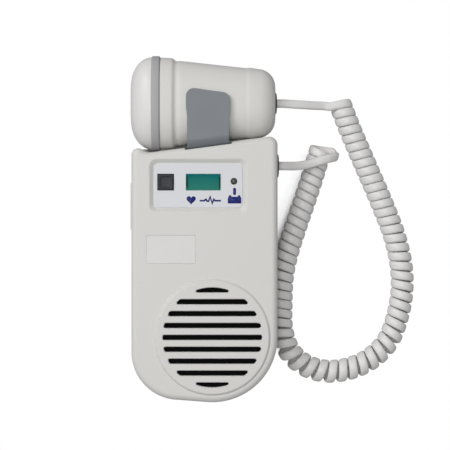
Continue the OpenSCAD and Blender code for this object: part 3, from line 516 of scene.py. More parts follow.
def crossing(a, ha, b, hb):
    """Point at distance ha and hb from two lines with normals at a and b."""
    ra, rb = math.radians(a), math.radians(b)
    k = math.sin(rb - ra)
    return ((ha * math.sin(rb) - hb * math.sin(ra)) / k,
            (hb * math.cos(ra) - ha * math.cos(rb)) / k)


def outline(s=0.0, t=0.0):
    """The housing's outline, drawn in by s all round and by t at the sides."""
    corner = (HALF_W - TOP_R - t, TOP_RIGHT_Y - t * TOP_TAN)
    lip_x = -HALF_W + LIP_R + t
    lip = (lip_x, top_edge(lip_x) + LIP_RISE - LIP_R)
    rise_a = 90 + TOP_SLOPE
    dip = crossing(rise_a, toward(corner, rise_a) + TOP_R + DIP_R,
                   LIP_FLANK, toward(lip, LIP_FLANK) + LIP_R + DIP_R)
    return (arc(*FOOT_LEFT, FOOT_R - s - t, 180, FOOT_A, 32)[:-1]
            + arc(*SPEAKER, SIDE_R - s - t, FOOT_A, 360, 44)
            + arc(*corner, TOP_R - s, 0, rise_a, 16)
            + arc(*dip, -DIP_R - s, rise_a, LIP_FLANK, 10)
            + arc(*lip, LIP_R - s, LIP_FLANK, 180, 16))


def level(s, t, z):
    return [(x, y, z) for x, y in outline(s, t)]


def side_inset(z):
    return 0.0 if z >= TAPER_Z else BACK_INSET * (1 - z / TAPER_Z)


def quarter(n=8):
    return [90 * i / n for i in range(n + 1)]


def cosd(a):
    return math.cos(math.radians(a))


def sind(a):
    return math.sin(math.radians(a))


def turned(name, centre, profile, n=128):
    """A solid turned round a vertical axis; profile is [radius, z] from bottom to top."""
    rings = [[(x, y, z) for x, y in disc(*centre, max(r, 0.01), n)] for r, z in profile]
    return loft(name, rings)


def block(name, x, y, z0, w, h, d):
    """Box from its middle in x and y, and its foot."""
    return prism(name, [(x - w / 2, y - h / 2), (x + w / 2, y - h / 2),
                        (x + w / 2, y + h / 2), (x - w / 2, y + h / 2)], z0, z0 + d)


def turned_block(name, x0, y0, angle, w, y_low, y_high, z0, z1):
    """Box in a frame that is turned by angle about x0, y0."""
    c, s = cosd(angle), sind(angle)
    flat = [(-w / 2, y_low), (w / 2, y_low), (w / 2, y_high), (-w / 2, y_high)]
    return prism(name, [(x0 + c * u - s * v, y0 + s * u + c * v) for u, v in flat], z0, z1)


CLIP_X, CLIP_W, CLIP_SINK, CLIP_FLARE, CLIP_T = 1.8, 22.2, 1.2, 0.6, 2.0
NOTCH_W = CLIP_W + 2 * (CLIP_FLARE + 0.3)


def clip_notch(z0, z1):
    return turned_block("notch", CLIP_X, top_edge(CLIP_X), TOP_SLOPE, NOTCH_W,
                        -CLIP_SINK, 6.0, z0, z1)


def superellipse(a, n=2.7):
    c = cosd(a)
    return math.copysign(abs(c) ** (2 / n), c)


def oval(hy, hz, n=64):
    """Cross-section of the probe and of the glands: [across, depth]."""
    return [(hy * superellipse(360 * i / n), hz * superellipse(360 * i / n - 90))
            for i in range(n)]


def gland_seat(x0, x1, y, z, hy, hz):
    ring = oval(hy, hz, 40)
    return loft("seat", [[(x, y + a, z + b) for a, b in ring] for x in (x0, x1)])


GLAND_SEAT, GLAND_T = 0.8, 1.3
UNIT_GLAND = (52.1, 21.5)


SLOT_R = 0.65


def hull(points):
    """Convex outline round a set of flat points, anticlockwise."""
    points = sorted(set(points))

    def half(row):
        out = []
        for p in row:
            while len(out) > 1 and ((out[-1][0] - out[-2][0]) * (p[1] - out[-2][1])
                                    <= (out[-1][1] - out[-2][1]) * (p[0] - out[-2][0])):
                out.pop()
            out.append(p)
        return out[:-1]
    return half(points) + half(points[::-1])


def slot_outline(i, grow=0.0):
    """One slot of the grille, clipped by the round field, with every corner rounded."""
    y = (i - (SLOT_COUNT - 1) / 2) * SLOT_PITCH
    r = SLOT_FIELD_D / 2 - SLOT_R
    low, high = y - SLOT_H / 2 + SLOT_R, y + SLOT_H / 2 - SLOT_R
    inner = [(r * cosd(a), r * sind(a)) for a in range(0, 360, 2)]
    inner = [q for q in inner if low <= q[1] <= high]
    for edge in (low, high):
        if abs(edge) < r:
            x = math.sqrt(r * r - edge * edge)
            inner += [(-x, edge), (x, edge)]
    rim = [v for q in inner for v in disc(q[0] + SPEAKER[0], q[1] + SPEAKER[1],
                                          SLOT_R + grow, 24)]
    return hull([(round(x, 4), round(y, 4)) for x, y in rim])


def grille_tools():
    """Slots that open out a little at the grille's face."""
    for i in range(SLOT_COUNT):
        rings = []
        for z, g in ((GRILLE_UNDER_Z - 1, 0.0), (GRILLE_Z - 0.5, 0.0), (GRILLE_Z - 0.2, 0.1),
                     (GRILLE_Z - 0.02, 0.38), (GRILLE_Z + 1, 0.5)):
            rings.append([(x, y, z) for x, y in resample(slot_outline(i, g), 72)])
        yield loft("slot", rings)


def resample(points, count):
    """The closed outline in evenly spaced points, from its place furthest to the right."""
    k = max(range(len(points)), key=lambda j: points[j][0])
    ring = points[k:] + points[:k + 1]
    run = [0.0]
    for p, q in zip(ring, ring[1:]):
        run.append(run[-1] + math.dist(p, q))
    out, j = [], 0
    for i in range(count):
        d = run[-1] * i / count
        while run[j + 1] < d:
            j += 1
        t = (d - run[j]) / (run[j + 1] - run[j])
        out.append((ring[j][0] * (1 - t) + ring[j + 1][0] * t,
                    ring[j][1] * (1 - t) + ring[j + 1][1] * t))
    return out


DOOR_W, DOOR_T, DOOR_TONGUE, DOOR_TOP_Y = 33.0, 2.0, 1.2, -5.5
BATTERY_W, BATTERY_Y0 = 27.1, -52.3


def door_blank(grow):
    """Plate with two side tongues, long enough to leave by the bottom end."""
    plate = block("plate", 0, -90 + (DOOR_TOP_Y + grow) / 2 + 45, -1, DOOR_W + 2 * grow,
                  90 + DOOR_TOP_Y + grow, DOOR_T + 1 + grow)
    low = -90 + 45
    tongue = block("tongue", 0, low + (DOOR_TOP_Y - 2 + grow) / 2, DOOR_T - 1 - grow,
                   DOOR_W + 2 * (DOOR_TONGUE + grow), 90 + DOOR_TOP_Y - 2 + grow, 1 + 2 * grow)
    return combine(plate, tongue, "UNION")


def back_rings(shrink):
    rings = []
    for a in quarter(8):
        z = BACK_Z + BACK_ROUND * (1 - cosd(a))
        rings.append(level(BACK_ROUND * (1 - sind(a)) + shrink, side_inset(z), z))
    return rings + [level(shrink, side_inset(z), z) for z in (5, 9, 13, 15, TAPER_Z)]


def back_shape(shrink=0.0):
    """Outer form of the rear half as a solid."""
    return loft("back_shape", back_rings(shrink))



# Middle, width and height of the name plate, its play in the bed, and how far it sinks
PLATE_AT = (-16.9, 9.6, 25.0, 14.4)
PLATE_PLAY = 0.08
PLATE_SINK = 0.32


def plate_ring(inset, drop):
    """Outline of the name plate, which sinks in towards its top right corner."""
    x, y, w, h = PLATE_AT
    ring = []
    for u, v in rounded(x, y, w - 2 * inset, h - 2 * inset, 0.7):
        sink = 0.5 * ((u - x) / w + (v - y) / h) + 0.5
        ring.append((u, v, UNIT_T - drop - PLATE_SINK * sink))
    return ring


def make_plate():
    """Bare name plate, let into the front."""
    rings = [plate_ring(PLATE_PLAY, 0.3), plate_ring(PLATE_PLAY, 0.06), plate_ring(0.2, 0.0)]
    return shade(loft("name_plate", rings), 1)


def make_front():
    """Front half: rounded edge, raised grille, recessed panel and every opening."""
    rings = [level(0.35, 0, PARTING_Z), level(0, 0, PARTING_Z + 0.3)]
    rings += [level(FRONT_ROUND * (1 - cosd(a)), 0, UNIT_T - FRONT_ROUND * (1 - sind(a)))
              for a in quarter(10)]
    shell = loft("front_shell", rings)
    inside = prism("inside", outline(WALL, 0), PARTING_Z - 1, UNIT_T - WALL)
    combine(shell, inside)
    r = GRILLE_D / 2
    cone = [(r + GRILLE_Z - GRILLE_UNDER_Z - 0.05, GRILLE_UNDER_Z), (r + 1.35, UNIT_T - 0.3),
            (r + 0.95, UNIT_T + 0.05), (r + 0.3, GRILLE_Z - 0.3), (r + 0.06, GRILLE_Z - 0.09),
            (r - 0.3, GRILLE_Z)]
    combine(shell, turned("dome", SPEAKER, cone, 160), "UNION")
    x, y = PANEL
    wall = prism("panel_wall", rounded(x, y, PANEL_W + 2 * PANEL_BORDER + 2,
                                       PANEL_H + 2 * PANEL_BORDER + 1, 3),
                 PANEL_UNDER_Z, UNIT_T - WALL + 0.05)
    combine(shell, wall, "UNION")
    for sx, sy in SCREWS:
        combine(shell, turned("post", (sx, sy), [(3.2, PARTING_Z), (3.2, UNIT_T - 2)], 32),
                "UNION")
    # Sloped walls of the recess, eased at the rim and at the floor
    flow = [(0.0, 2.5, 0.0), (0.25, 2.6, 0.06), (0.6, 2.8, 0.3), (1.7, 3.4, 1.1),
            (2.1, 3.7, 1.36), (2.6, 4.1, 1.5), (3.2, 4.6, 1.56)]
    recess = [[(u, v, PANEL_Z + dz) for u, v in
               rounded(x, y, PANEL_W + 2 * g, PANEL_H + 2 * g, c, 8)] for g, c, dz in flow]
    recess.append([(u, v, UNIT_T + 1) for u, v in
                   rounded(x, y, PANEL_W + 7, PANEL_H + 7, 4.8, 8)])
    combine(shell, loft("recess", recess))
    for slot in grille_tools():
        combine(shell, slot)
    bed = plate_ring(0, 0.25)
    combine(shell, loft("plate_bed", [bed, [(u, v, UNIT_T + 1) for u, v, _ in bed]]))
    combine(shell, block("window", *WINDOW, PANEL_UNDER_Z - 1, WINDOW_W, WINDOW_H, 6))
    combine(shell, block("lens_pocket", *WINDOW, PANEL_UNDER_Z - 1,
                         WINDOW_W + 3, WINDOW_H + 3, 2))
    combine(shell, block("button_way", *BUTTON, PANEL_UNDER_Z - 1,
                         BUTTON_S + 0.3, BUTTON_S + 0.3, 6))
    combine(shell, turned("lamp_way", LED, [(LED_D / 2 + 0.2, PANEL_UNDER_Z - 1),
                                            (LED_D / 2 + 0.2, UNIT_T)], 48))
    combine(shell, block("rocker_way", -HALF_W + 0.9, ROCKER_Y, ROCKER_Z - ROCKER_H / 2 - 0.3,
                         4.0, ROCKER_L + 0.8, ROCKER_H + 0.6))
    y, z = UNIT_GLAND
    combine(shell, gland_seat(HALF_W - GLAND_SEAT, HALF_W + 1, y, z, 6.1, 4.4))
    combine(shell, clip_notch(PARTING_Z - 1, UNIT_T + 1))
    return soften(shell, 0.22, 38, 2)


def make_rear():
    """Rear half: sides that taper to the back, the battery opening and the screw holes."""
    shell = loft("rear_shell", back_rings(0) + [level(0, 0, PARTING_Z - 0.3),
                                                level(0.35, 0, PARTING_Z)])
    hollow = loft("hollow", [level(WALL, side_inset(WALL), WALL), level(WALL, 0, TAPER_Z),
                             level(WALL, 0, PARTING_Z + 1)])
    combine(shell, hollow)
    x, y0, y1, slope = REST
    pad = [[(-x - g, y0 - g, z), (x + g, y0 - g, z), (x + g, y1 + g, z), (-x - g, y1 + g, z)]
           for z, g in ((0, 0), (BACK_Z, slope), (WALL - 0.1, slope))]
    combine(shell, loft("rest_pad", pad), "UNION")
    for sx, sy in SCREWS:
        combine(shell, turned("post", (sx, sy), [(3.2, 1.5), (3.2, PARTING_Z - 0.1)], 32),
                "UNION")
        combine(shell, turned("head_way", (sx, sy), [(2.5, -1), (2.5, 2.4)], 32))
    bay = block("bay_floor", 0, (DOOR_TOP_Y + 3 - 90) / 2, 1.0, DOOR_W + 6.8,
                90 + DOOR_TOP_Y + 3, 2.2)
    combine(bay, back_shape(0.3), "INTERSECT")
    combine(shell, bay, "UNION")
    combine(shell, door_blank(0.15))
    combine(shell, block("bay", 0, (BATTERY_Y0 + DOOR_TOP_Y - 1.5) / 2, -1, BATTERY_W,
                         DOOR_TOP_Y - 1.5 - BATTERY_Y0, 5))
    combine(shell, clip_notch(-1, PARTING_Z + 1))
    return soften(shell, 0.2, 38, 2)


def make_door():
    door = door_blank(0)
    combine(door, back_shape(), "INTERSECT")
    ribs = block("rib", 0, DOOR_TOP_Y - 14 + 0.45, -1, 16, 0.9, 1 + BACK_Z + 0.5)
    ribs = repeat("ribs", ribs, (0, 2 * MM, 0), 5)
    combine(door, ribs)
    return soften(door, 0.18, 38, 2)


def make_rocker():
    """Tilting bar with a plus cut into one end and a minus into the other."""
    r, y0, y1 = ROCKER_RISE, ROCKER_Y - ROCKER_L / 2, ROCKER_Y + ROCKER_L / 2
    flat = [(-HALF_W - r, y0 + r), (-HALF_W, y0), (-HALF_W + WALL + 0.2, y0),
            (-HALF_W + WALL + 0.2, y1), (-HALF_W, y1), (-HALF_W - r, y1 - r)]
    bar = prism("volume_rocker_bar", flat, ROCKER_Z - ROCKER_H / 2, ROCKER_Z + ROCKER_H / 2)
    eye = turned("eye", (-HALF_W + 3.6, ROCKER_Y), [(1.7, ROCKER_Z - ROCKER_H / 2 + 0.02),
                                                   (1.7, ROCKER_Z + ROCKER_H / 2 - 0.02)], 32)
    combine(bar, eye, "UNION")
    for sy in (-1, 1):
        combine(bar, block("mark", -HALF_W - r - 1.6, ROCKER_Y + sy * 8.5, ROCKER_Z - 0.35,
                           4.0, 4.2, 0.7))
    combine(bar, block("mark", -HALF_W - r - 1.6, ROCKER_Y + 8.5, ROCKER_Z - 2.1, 4.0, 0.7, 4.2))
    return soften(bar, 0.3, 30, 3)


# ---------------------------------------------------------------- panel
def make_overlay():
    film = prism("overlay_film", rounded(*PANEL, PANEL_W - 0.4, PANEL_H - 0.4, 2.3, 8),
                 PANEL_Z, OVERLAY_Z)
    combine(film, block("window", *WINDOW, PANEL_Z - 1, WINDOW_W, WINDOW_H, 3))
    combine(film, block("button_way", *BUTTON, PANEL_Z - 1, BUTTON_S + 0.3, BUTTON_S + 0.3, 3))
    combine(film, turned("lamp_way", LED, [(LED_D / 2 + 0.2, PANEL_Z - 1),
                                           (LED_D / 2 + 0.2, PANEL_Z + 2)], 48))
    return soften(film, 0.08, 38, 2)


def make_button():
    """Square key with a dished, round-edged top."""
    x, y = BUTTON
    top = OVERLAY_Z + 1.0
    s = BUTTON_S - 0.15
    rings = [rounded(x, y, s + 2.2, s + 2.2, 1.0), rounded(x, y, s + 2.2, s + 2.2, 1.0)]
    zs = [28.8, PANEL_UNDER_Z - 0.3]
    for w, z in [(s, PANEL_UNDER_Z - 0.29), (s, top - 0.75), (s - 0.1, top - 0.5),
                 (s - 0.5, top - 0.18), (s - 1.1, top - 0.02), (s - 1.5, top),
                 (s - 1.9, top - 0.06), (s - 2.5, top - 0.3), (s - 3.2, top - 0.42),
                 (s - 5.0, top - 0.48), (s - 7.0, top - 0.5)]:
        rings.append(rounded(x, y, w, w, min(1.1, w / 2.2)))
        zs.append(z)
    return shade(loft("mode_key", [[(u, v, z) for u, v in ring]
                                   for ring, z in zip(rings, zs)]), 40)


# Height of the printed ink over the film
INK_T = 0.03


def ink(name, outline_points):
    """Thin printed shape that lies on the panel film."""
    return prism(name, outline_points, OVERLAY_Z + 0.005, OVERLAY_Z + INK_T)


def heart(cx, cy, w, h, n=40):
    points = []
    for i in range(n):
        a = 2 * math.pi * i / n
        u = 16 * math.sin(a) ** 3
        v = 13 * math.cos(a) - 5 * math.cos(2 * a) - 2 * math.cos(3 * a) - math.cos(4 * a)
        points.append((cx - u * w / 32, cy + (v + 2.5) * h / 29))
    return points


def stroke(line, width):
    """Outline of a pen stroke of even width along a line of points."""
    left, right = [], []
    for k, p in enumerate(line):
        a = Vector(line[max(0, k - 1)])
        b = Vector(line[min(len(line) - 1, k + 1)])
        here = Vector(p)
        d0 = (here - a).normalized() if k else (b - here).normalized()
        d1 = (b - here).normalized() if k < len(line) - 1 else d0
        n = Vector((-d0.y - d1.y, d0.x + d1.x)).normalized()
        scale = width / 2 / max(0.45, n.dot(Vector((-d0.y, d0.x))))
        left.append(tuple(here + n * scale))
        right.append(tuple(here - n * scale))
    return right + left[::-1]


PULSE = [(-2.4, 34.2), (-0.1, 34.2), (0.7, 34.9), (1.4, 34.0), (2.1, 34.0), (2.9, 36.2),
         (3.9, 32.9), (4.7, 34.9), (5.4, 34.2), (8.3, 34.2)]
TRAY = [(11.8, 32.8), (18.6, 32.8), (18.6, 35.4), (17.9, 37.0), (17.1, 37.0), (16.7, 36.2),
        (13.7, 36.2), (13.3, 37.0), (12.5, 37.0), (11.8, 35.4)]


def make_icons():
    return [ink("icon_heart", heart(-6.7, 34.3, 4.7, 4.4)), ink("icon_pulse", stroke(PULSE, 0.85)),
            ink("icon_cradle", TRAY), ink("icon_probe", rounded(15.2, 38.9, 1.5, 3.6, 0.6))]


# ---------------------------------------------------------------- probe
PROBE_X, PROBE_Y, PROBE_Z, PROBE_L = -37.8, 84.3, 18.0, 73.9
CAP_L, BAND_L, BAND_R, HEAD_R = 10.7, 4.3, 24.2, 23.4
HANDLE_R, HANDLE_END_R, TAIL_R, TAIL_CORNER = 21.9, 18.2, 17.6, 9.0
HANDLE_DEPTH = 15.4
HEAD_DEPTH = HANDLE_DEPTH + 0.9
CAP_X = PROBE_X + CAP_L
HEAD_X = CAP_X + BAND_L
TAIL_X1 = PROBE_X + PROBE_L
TAIL_X0 = TAIL_X1 - TAIL_CORNER
STEP_X = HEAD_X + 6.5
HANDLE_X0 = STEP_X + 2.6
HANDLE_X1 = TAIL_X0 - 6.0


def probe_ring(x, hy, hz, n=96):
    return [(x, PROBE_Y + a, PROBE_Z + b) for a, b in oval(hy, hz, n)]


def blend_stations(stops, steps=6):
    """Smooth row of stations through the stops, each [x, half height, half depth]."""
    row = []
    for k in range(steps * (len(stops) - 1) + 1):
        row.append(tuple(spline_at(stops, k / steps)))
    return row


def make_cap():
    rings = [probe_ring(CAP_X - CAP_L * cosd(a), 9 + (HEAD_R + 0.2 - 9) * sind(a),
                        6 + (HEAD_DEPTH + 0.1 - 6) * sind(a)) for a in quarter(16)]
    return shade(loft("face_cap_shell", rings), 40)


def make_band():
    h = HEAD_DEPTH + BAND_R - HEAD_R
    rings = [probe_ring(CAP_X + x, BAND_R - d, h - d) for x, d in
             [(0.02, 0.55), (0.12, 0.3), (0.4, 0.08), (0.9, 0.0), (BAND_L - 0.9, 0.0),
              (BAND_L - 0.4, 0.08), (BAND_L - 0.12, 0.3), (BAND_L - 0.02, 0.55)]]
    return shade(loft("seal_band_ring", rings), 50)


def make_probe_body():
    """Stations of the head, groove, tapered handle and tail, each [x, half height, half depth]."""
    head = [(HEAD_X, HEAD_R - 0.35, HEAD_DEPTH - 0.35), (HEAD_X + 0.3, HEAD_R - 0.05,
            HEAD_DEPTH - 0.05), (HEAD_X + 1.2, HEAD_R, HEAD_DEPTH),
            (STEP_X - 1.2, HEAD_R - 0.2, HEAD_DEPTH - 0.05), (STEP_X, HEAD_R - 0.45,
            HEAD_DEPTH - 0.35), (STEP_X + 0.9, HEAD_R - 1.2, HEAD_DEPTH - 1.0),
            (STEP_X + 2.0, HANDLE_R - 0.25, HANDLE_DEPTH - 0.4),
            (HANDLE_X0 + 0.9, HANDLE_R - 0.15, HANDLE_DEPTH - 0.15),
            (HANDLE_X0 + 2.2, HANDLE_R - 0.25, HANDLE_DEPTH - 0.03)]
    handle = []
    for k in range(1, 9):
        t = k / 8
        handle.append((HANDLE_X0 + 2.2 + (HANDLE_X1 - HANDLE_X0 - 2.2) * t,
                       HANDLE_R - 0.25 + (HANDLE_END_R + 0.1 - HANDLE_R) * t,
                       HANDLE_DEPTH - 0.03 - 0.2 * t))
    tail = [(HANDLE_X1 + 0.5, HANDLE_END_R - 0.1, HANDLE_DEPTH - 0.2),
            (HANDLE_X1 + 1.0, HANDLE_END_R + 0.0, HANDLE_DEPTH - 0.06),
            (HANDLE_X1 + 1.7, HANDLE_END_R + 0.02, HANDLE_DEPTH),
            (HANDLE_X1 + 3.4, HANDLE_END_R - 0.1, HANDLE_DEPTH)]
    for a in quarter(14):
        tail.append((TAIL_X0 + TAIL_CORNER * sind(a), TAIL_R - TAIL_CORNER * (1 - cosd(a)),
                     HANDLE_DEPTH - 0.2 - 7.0 * (1 - cosd(a))))
    rows = [tuple(v) for v in blend_stations(head, 3)] + handle + tail
    return rows


def probe_halves():
    rows = make_probe_body()
    halves = []
    for name, low, high in (("probe_front_skin", PROBE_Z + 0.06, 60.0),
                            ("probe_rear_skin", -20.0, PROBE_Z - 0.06)):
        skin = loft(name, [probe_ring(*row) for row in rows])
        half = block("half", 0, PROBE_Y, low, 200, 80, high - low)
        combine(skin, half, "INTERSECT")
        combine(skin, gland_seat(TAIL_X1 - GLAND_SEAT, TAIL_X1 + 1, PROBE_Y, PROBE_Z,
                                 5.55, 4.4))
        if low < 0:
            for px in (STEP_X - 0.2, TAIL_X0 - 3.1):
                combine(skin, turned("head_way", (px, PROBE_Y), [(2.5, -2), (2.5, 6.6)], 32))
        halves.append(soften(skin, 0.16, 40, 2))
    return halves


def make_gland(name, x0, y, z, hy, hz):
    """Oval flange with round edges, and a strain relief lip round the cord."""
    rings = []
    for x, d in [(-0.3, 0), (GLAND_T - 0.3, 0), (GLAND_T - 0.05, 0.1), (GLAND_T + 0.15, 0.4),
                 (GLAND_T + 0.3, 0.9), (GLAND_T + 0.42, 1.8)]:
        rings.append([(x0 + x, y + a, z + b) for a, b in oval(hy - d, hz - d, 48)])
    return shade(loft(name, rings), 50)


# ---------------------------------------------------------------- clip
CLIP_L, CLIP_BEND_R = 28.5, 5.0
CLIP_Z0 = PROBE_Z - HANDLE_DEPTH - 0.3 - CLIP_T
CLIP_Z1 = PROBE_Z + HANDLE_DEPTH + 0.3 + CLIP_T


def clip_section(inset, r):
    """Side view of the bent strip, drawn in by inset, with bends of radius r."""
    far = CLIP_L + 6
    return ([(far, CLIP_Z0 + inset)] + arc(inset + r, CLIP_Z0 + inset + r, r, 270, 180, 12)
            + arc(inset + r, CLIP_Z1 - inset - r, r, 180, 90, 12) + [(far, CLIP_Z1 - inset)])


def clip_outline():
    """Seen from the front: flared foot, waist and head whose edge slopes to the right."""
    head, waist, foot, r = CLIP_W / 2, CLIP_W / 2 - 0.6, CLIP_W / 2 + CLIP_FLARE, 4.0
    flat = [(foot, -8), (-waist, -8)]
    flat += smooth_line([(-waist, -8), (-waist, CLIP_L - 13), (-head, CLIP_L - 9),
                         (-head, CLIP_L - 5)])[1:-1]
    flat += arc(-head + r, CLIP_L + 1 - r, r, 180, 84, 14)
    flat += arc(head - r, CLIP_L - 1 - r, r, 84, 0, 14)
    flat += smooth_line([(head, CLIP_L - 10), (waist, CLIP_L - 15), (waist, 3.2), (foot, 1.4),
                         (foot, -8)])[:-1]
    y0 = top_edge(CLIP_X) - CLIP_SINK
    return [(CLIP_X + x, y0 + y) for x, y in flat][::-1]


def smooth_line(points, steps=6):
    """The line with its bends eased, in as many steps between each two points."""
    out = [points[0]]
    for k in range(1, len(points) - 1):
        a, b, c = (Vector(p) for p in points[k - 1:k + 2])
        reach = 0.4 * min((b - a).length, (c - b).length)
        p, q = b + (a - b).normalized() * reach, b + (c - b).normalized() * reach
        for i in range(steps + 1):
            t = i / steps
            out.append(tuple(p * (1 - t) ** 2 + 2 * b * t * (1 - t) + q * t * t))
    return out + [points[-1]]


def make_clip():
    outer = clip_section(0, CLIP_BEND_R)
    inner = clip_section(CLIP_T, CLIP_BEND_R - CLIP_T)
    c, s = cosd(TOP_SLOPE), sind(TOP_SLOPE)
    x0, y0 = CLIP_X, top_edge(CLIP_X)

    def bar(section):
        """Section run out along the clip's width, in the frame of the sloping edge."""
        rings = []
        for u in (-22.0, 22.0):
            rings.append([(x0 + c * u - s * (v - CLIP_SINK), y0 + s * u + c * (v - CLIP_SINK), z)
                          for v, z in section])
        return loft("clip_bar", rings)

    arms = bar(outer)
    reach = [(v + (3 if v > CLIP_L else 0), z) for v, z in inner]
    combine(arms, bar(reach))
    combine(arms, prism("clip_cut", clip_outline(), CLIP_Z0 - 1, CLIP_Z1 + 1), "INTERSECT")
    return soften(arms, 0.6, 35, 4)


# ---------------------------------------------------------------- finishes
# Warm light grey moulded ABS of both housings and of the probe
SHELL = material("abs_light_grey", "#d7d6d3", rough=0.5, vary=0.012, grain=0.35, depth=0.012)
# The probe's face is a slightly lighter, smoother acoustic plastic
FACE = material("acoustic_plastic", "#dddcda", rough=0.42, vary=0.01, grain=0.4, depth=0.008)
# Mid grey acetal of the spring clip
CLIP = material("acetal_mid_grey", "#777c81", rough=0.48, vary=0.02, grain=0.35, depth=0.014)
# Soft elastomer seal round the probe's head
BAND = material("elastomer_grey", "#a9a9ab", rough=0.6, vary=0.02, grain=0.3, depth=0.01)
# Black rubber of the cord glands
GLAND = material("rubber_black", "#1d1d1f", rough=0.6, vary=0.1, grain=0.3, depth=0.012)
# Grey vinyl jacket of the curly cord
JACKET = material("vinyl_jacket_grey", "#e4e3e2", rough=0.38, vary=0.03, grain=0.5,
                  depth=0.01, patch=30)
# Printed polyester film of the display panel, cool grey
FILM = material("polyester_film", "#d3d5d9", rough=0.38, vary=0.01, grain=0.25, depth=0.004)
# Dark grey silicone of the mode key
KEY = material("silicone_dark_grey", "#303437", rough=0.5, vary=0.04, grain=0.3, depth=0.01,
               shine=0.3)
# Navy screen-print ink of the symbols
INK = material("ink_navy", "#1d2677", rough=0.45, vary=0.03)
# Smoked epoxy of the unlit lamp
LAMP = material("epoxy_smoked", "#4c4a47", rough=0.18, vary=0.05, coat=0.4)
# Black dust cloth behind the grille
CLOTH = material("dust_cloth_black", "#070708", rough=0.9, vary=0.2, grain=0.3, depth=0.05,
                 shine=0.1)
# Pressed paper of the speaker's cone
PAPER = material("paper_black", "#2c2b29", rough=0.85, vary=0.1, grain=0.4, depth=0.04)
# Zinc-plated steel of screws, pin and speaker frame
STEEL = material("zinc_plated_steel", "#b4b6b8", rough=0.32, vary=0.03, metal=1.0)
# Sintered ferrite magnet
FERRITE = material("ferrite", "#3c3d40", rough=0.7, vary=0.08, grain=0.3, depth=0.02)
# Green solder mask on glass-fibre boards
BOARD = material("glass_fibre_board", "#1f5b3a", rough=0.35, vary=0.05, coat=0.3)
# Printed steel can of the nine-volt battery
CAN = material("battery_sleeve", "#3b4148", rough=0.35, vary=0.03, coat=0.2)
# Piezo ceramic, silvered
CERAMIC = material("piezo_ceramic", "#c8bb92", rough=0.5, vary=0.03)
# Tungsten-loaded epoxy behind the crystals
EPOXY = material("loaded_epoxy", "#4d4944", rough=0.7, vary=0.08)
# Closed-cell foam gasket and the black plastic of switches
FOAM = material("foam_black", "#1b1b1c", rough=0.85, vary=0.1, grain=0.4, depth=0.05)
# Pale bare plate moulded into the front
PLATE = material("abs_plate", "#d9d8d6", rough=0.42, vary=0.01, grain=0.3, depth=0.008)


def lens_material():
    """Clear acrylic of the display window."""
    mat = bpy.data.materials.new("acrylic_clear")
    mat.use_nodes = True
    shader = mat.node_tree.nodes["Principled BSDF"]
    shader.inputs["Base Color"].default_value = linear("#0a0e0e")
    shader.inputs["Roughness"].default_value = 0.03
    shader.inputs["IOR"].default_value = 1.49
    shader.inputs["Alpha"].default_value = 0.05
    return mat


def glass_material():
    """Teal liquid crystal, darker towards its top edge as painted shade from the window's rim.

    The little light that it gives off is a painted glow that makes up for the shade of its deep
    window.
    """
    mat = bpy.data.materials.new("lcd_glass_teal")
    mat.use_nodes = True
    tree = mat.node_tree
    shader = tree.nodes["Principled BSDF"]
    place = add_node(tree, "ShaderNodeTexCoord", (-900, 0))
    axes = add_node(tree, "ShaderNodeSeparateXYZ", (-700, 0))
    tree.links.new(place.outputs["Object"], axes.inputs["Vector"])
    y0, y1 = WINDOW[1] - WINDOW_H / 2, WINDOW[1] + WINDOW_H / 2
    up = add_node(tree, "ShaderNodeMapRange", (-500, 0), From_Min=y0 * MM, From_Max=y1 * MM,
                  To_Min=0.0, To_Max=1.0)
    tree.links.new(axes.outputs["Y"], up.inputs["Value"])
    # Painted shade: the teal darkens towards the top edge, where the window's rim shades it
    blend = add_node(tree, "ShaderNodeMix", (-250, 0), data_type="RGBA")
    blend.inputs[6].default_value = linear("#4fbfa8")
    blend.inputs[7].default_value = linear("#00a3a6")
    tree.links.new(up.outputs["Result"], blend.inputs[0])
    tree.links.new(blend.outputs[2], shader.inputs["Base Color"])
    # Painted glow: a little light of its own, to lift the teal out of the window's shade
    tree.links.new(blend.outputs[2], shader.inputs["Emission Color"])
    shader.inputs["Emission Strength"].default_value = 0.18
    shader.inputs["Roughness"].default_value = 0.4
    shader.inputs["Specular IOR Level"].default_value = 0.15
    return mat


LENS_MAT = lens_material()
GLASS = glass_material()


def paint(obj, mat):
    obj.data.materials.clear()
    obj.data.materials.append(mat)
    return obj


def paint_node(name, mat):
    """Give a CAD node that stays in view its real material."""
    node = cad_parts[name]
    if not node.data.materials:
        node.data.materials.append(mat)
    for k in range(len(node.data.materials)):
        node.data.materials[k] = mat


def place(obj, body, mat, slot, *nodes):
    """Finish a piece: its material, the body it rides on and the CAD nodes it stands for."""
    paint(obj, mat)
    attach(obj, body)
    if nodes:
        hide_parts(*nodes)
    return obj


# ---------------------------------------------------------------- assembly
place(make_front(), "main_unit", SHELL, "housing_plastic", "front_housing")
place(make_rear(), "main_unit", SHELL, "housing_plastic", "rear_housing")
place(make_door(), "door", SHELL, "housing_plastic", "battery_door")
place(make_rocker(), "rocker", SHELL, "housing_plastic", "volume_rocker")
place(make_overlay(), "main_unit", FILM, "overlay_film", "panel_overlay")
place(make_plate(), "main_unit", PLATE, "housing_plastic")
place(make_button(), "button", KEY, "button_rubber", "mode_button")
for icon in make_icons():
    place(icon, "main_unit", INK, "overlay_film")
place(make_clip(), "main_unit", CLIP, "clip_plastic", "probe_clip")
place(make_gland("unit_gland_flange", HALF_W - GLAND_SEAT, *UNIT_GLAND, 6.0, 4.3),
      "main_unit", GLAND, "black_plastic", "unit_cord_gland")
place(make_cap(), "probe", FACE, "housing_plastic", "probe_face_cap")
place(make_band(), "probe", BAND, "band_rubber", "probe_seal_band")
front_skin, rear_skin = probe_halves()
place(front_skin, "probe", SHELL, "housing_plastic", "probe_front_shell")
place(rear_skin, "probe", SHELL, "housing_plastic", "probe_rear_shell")
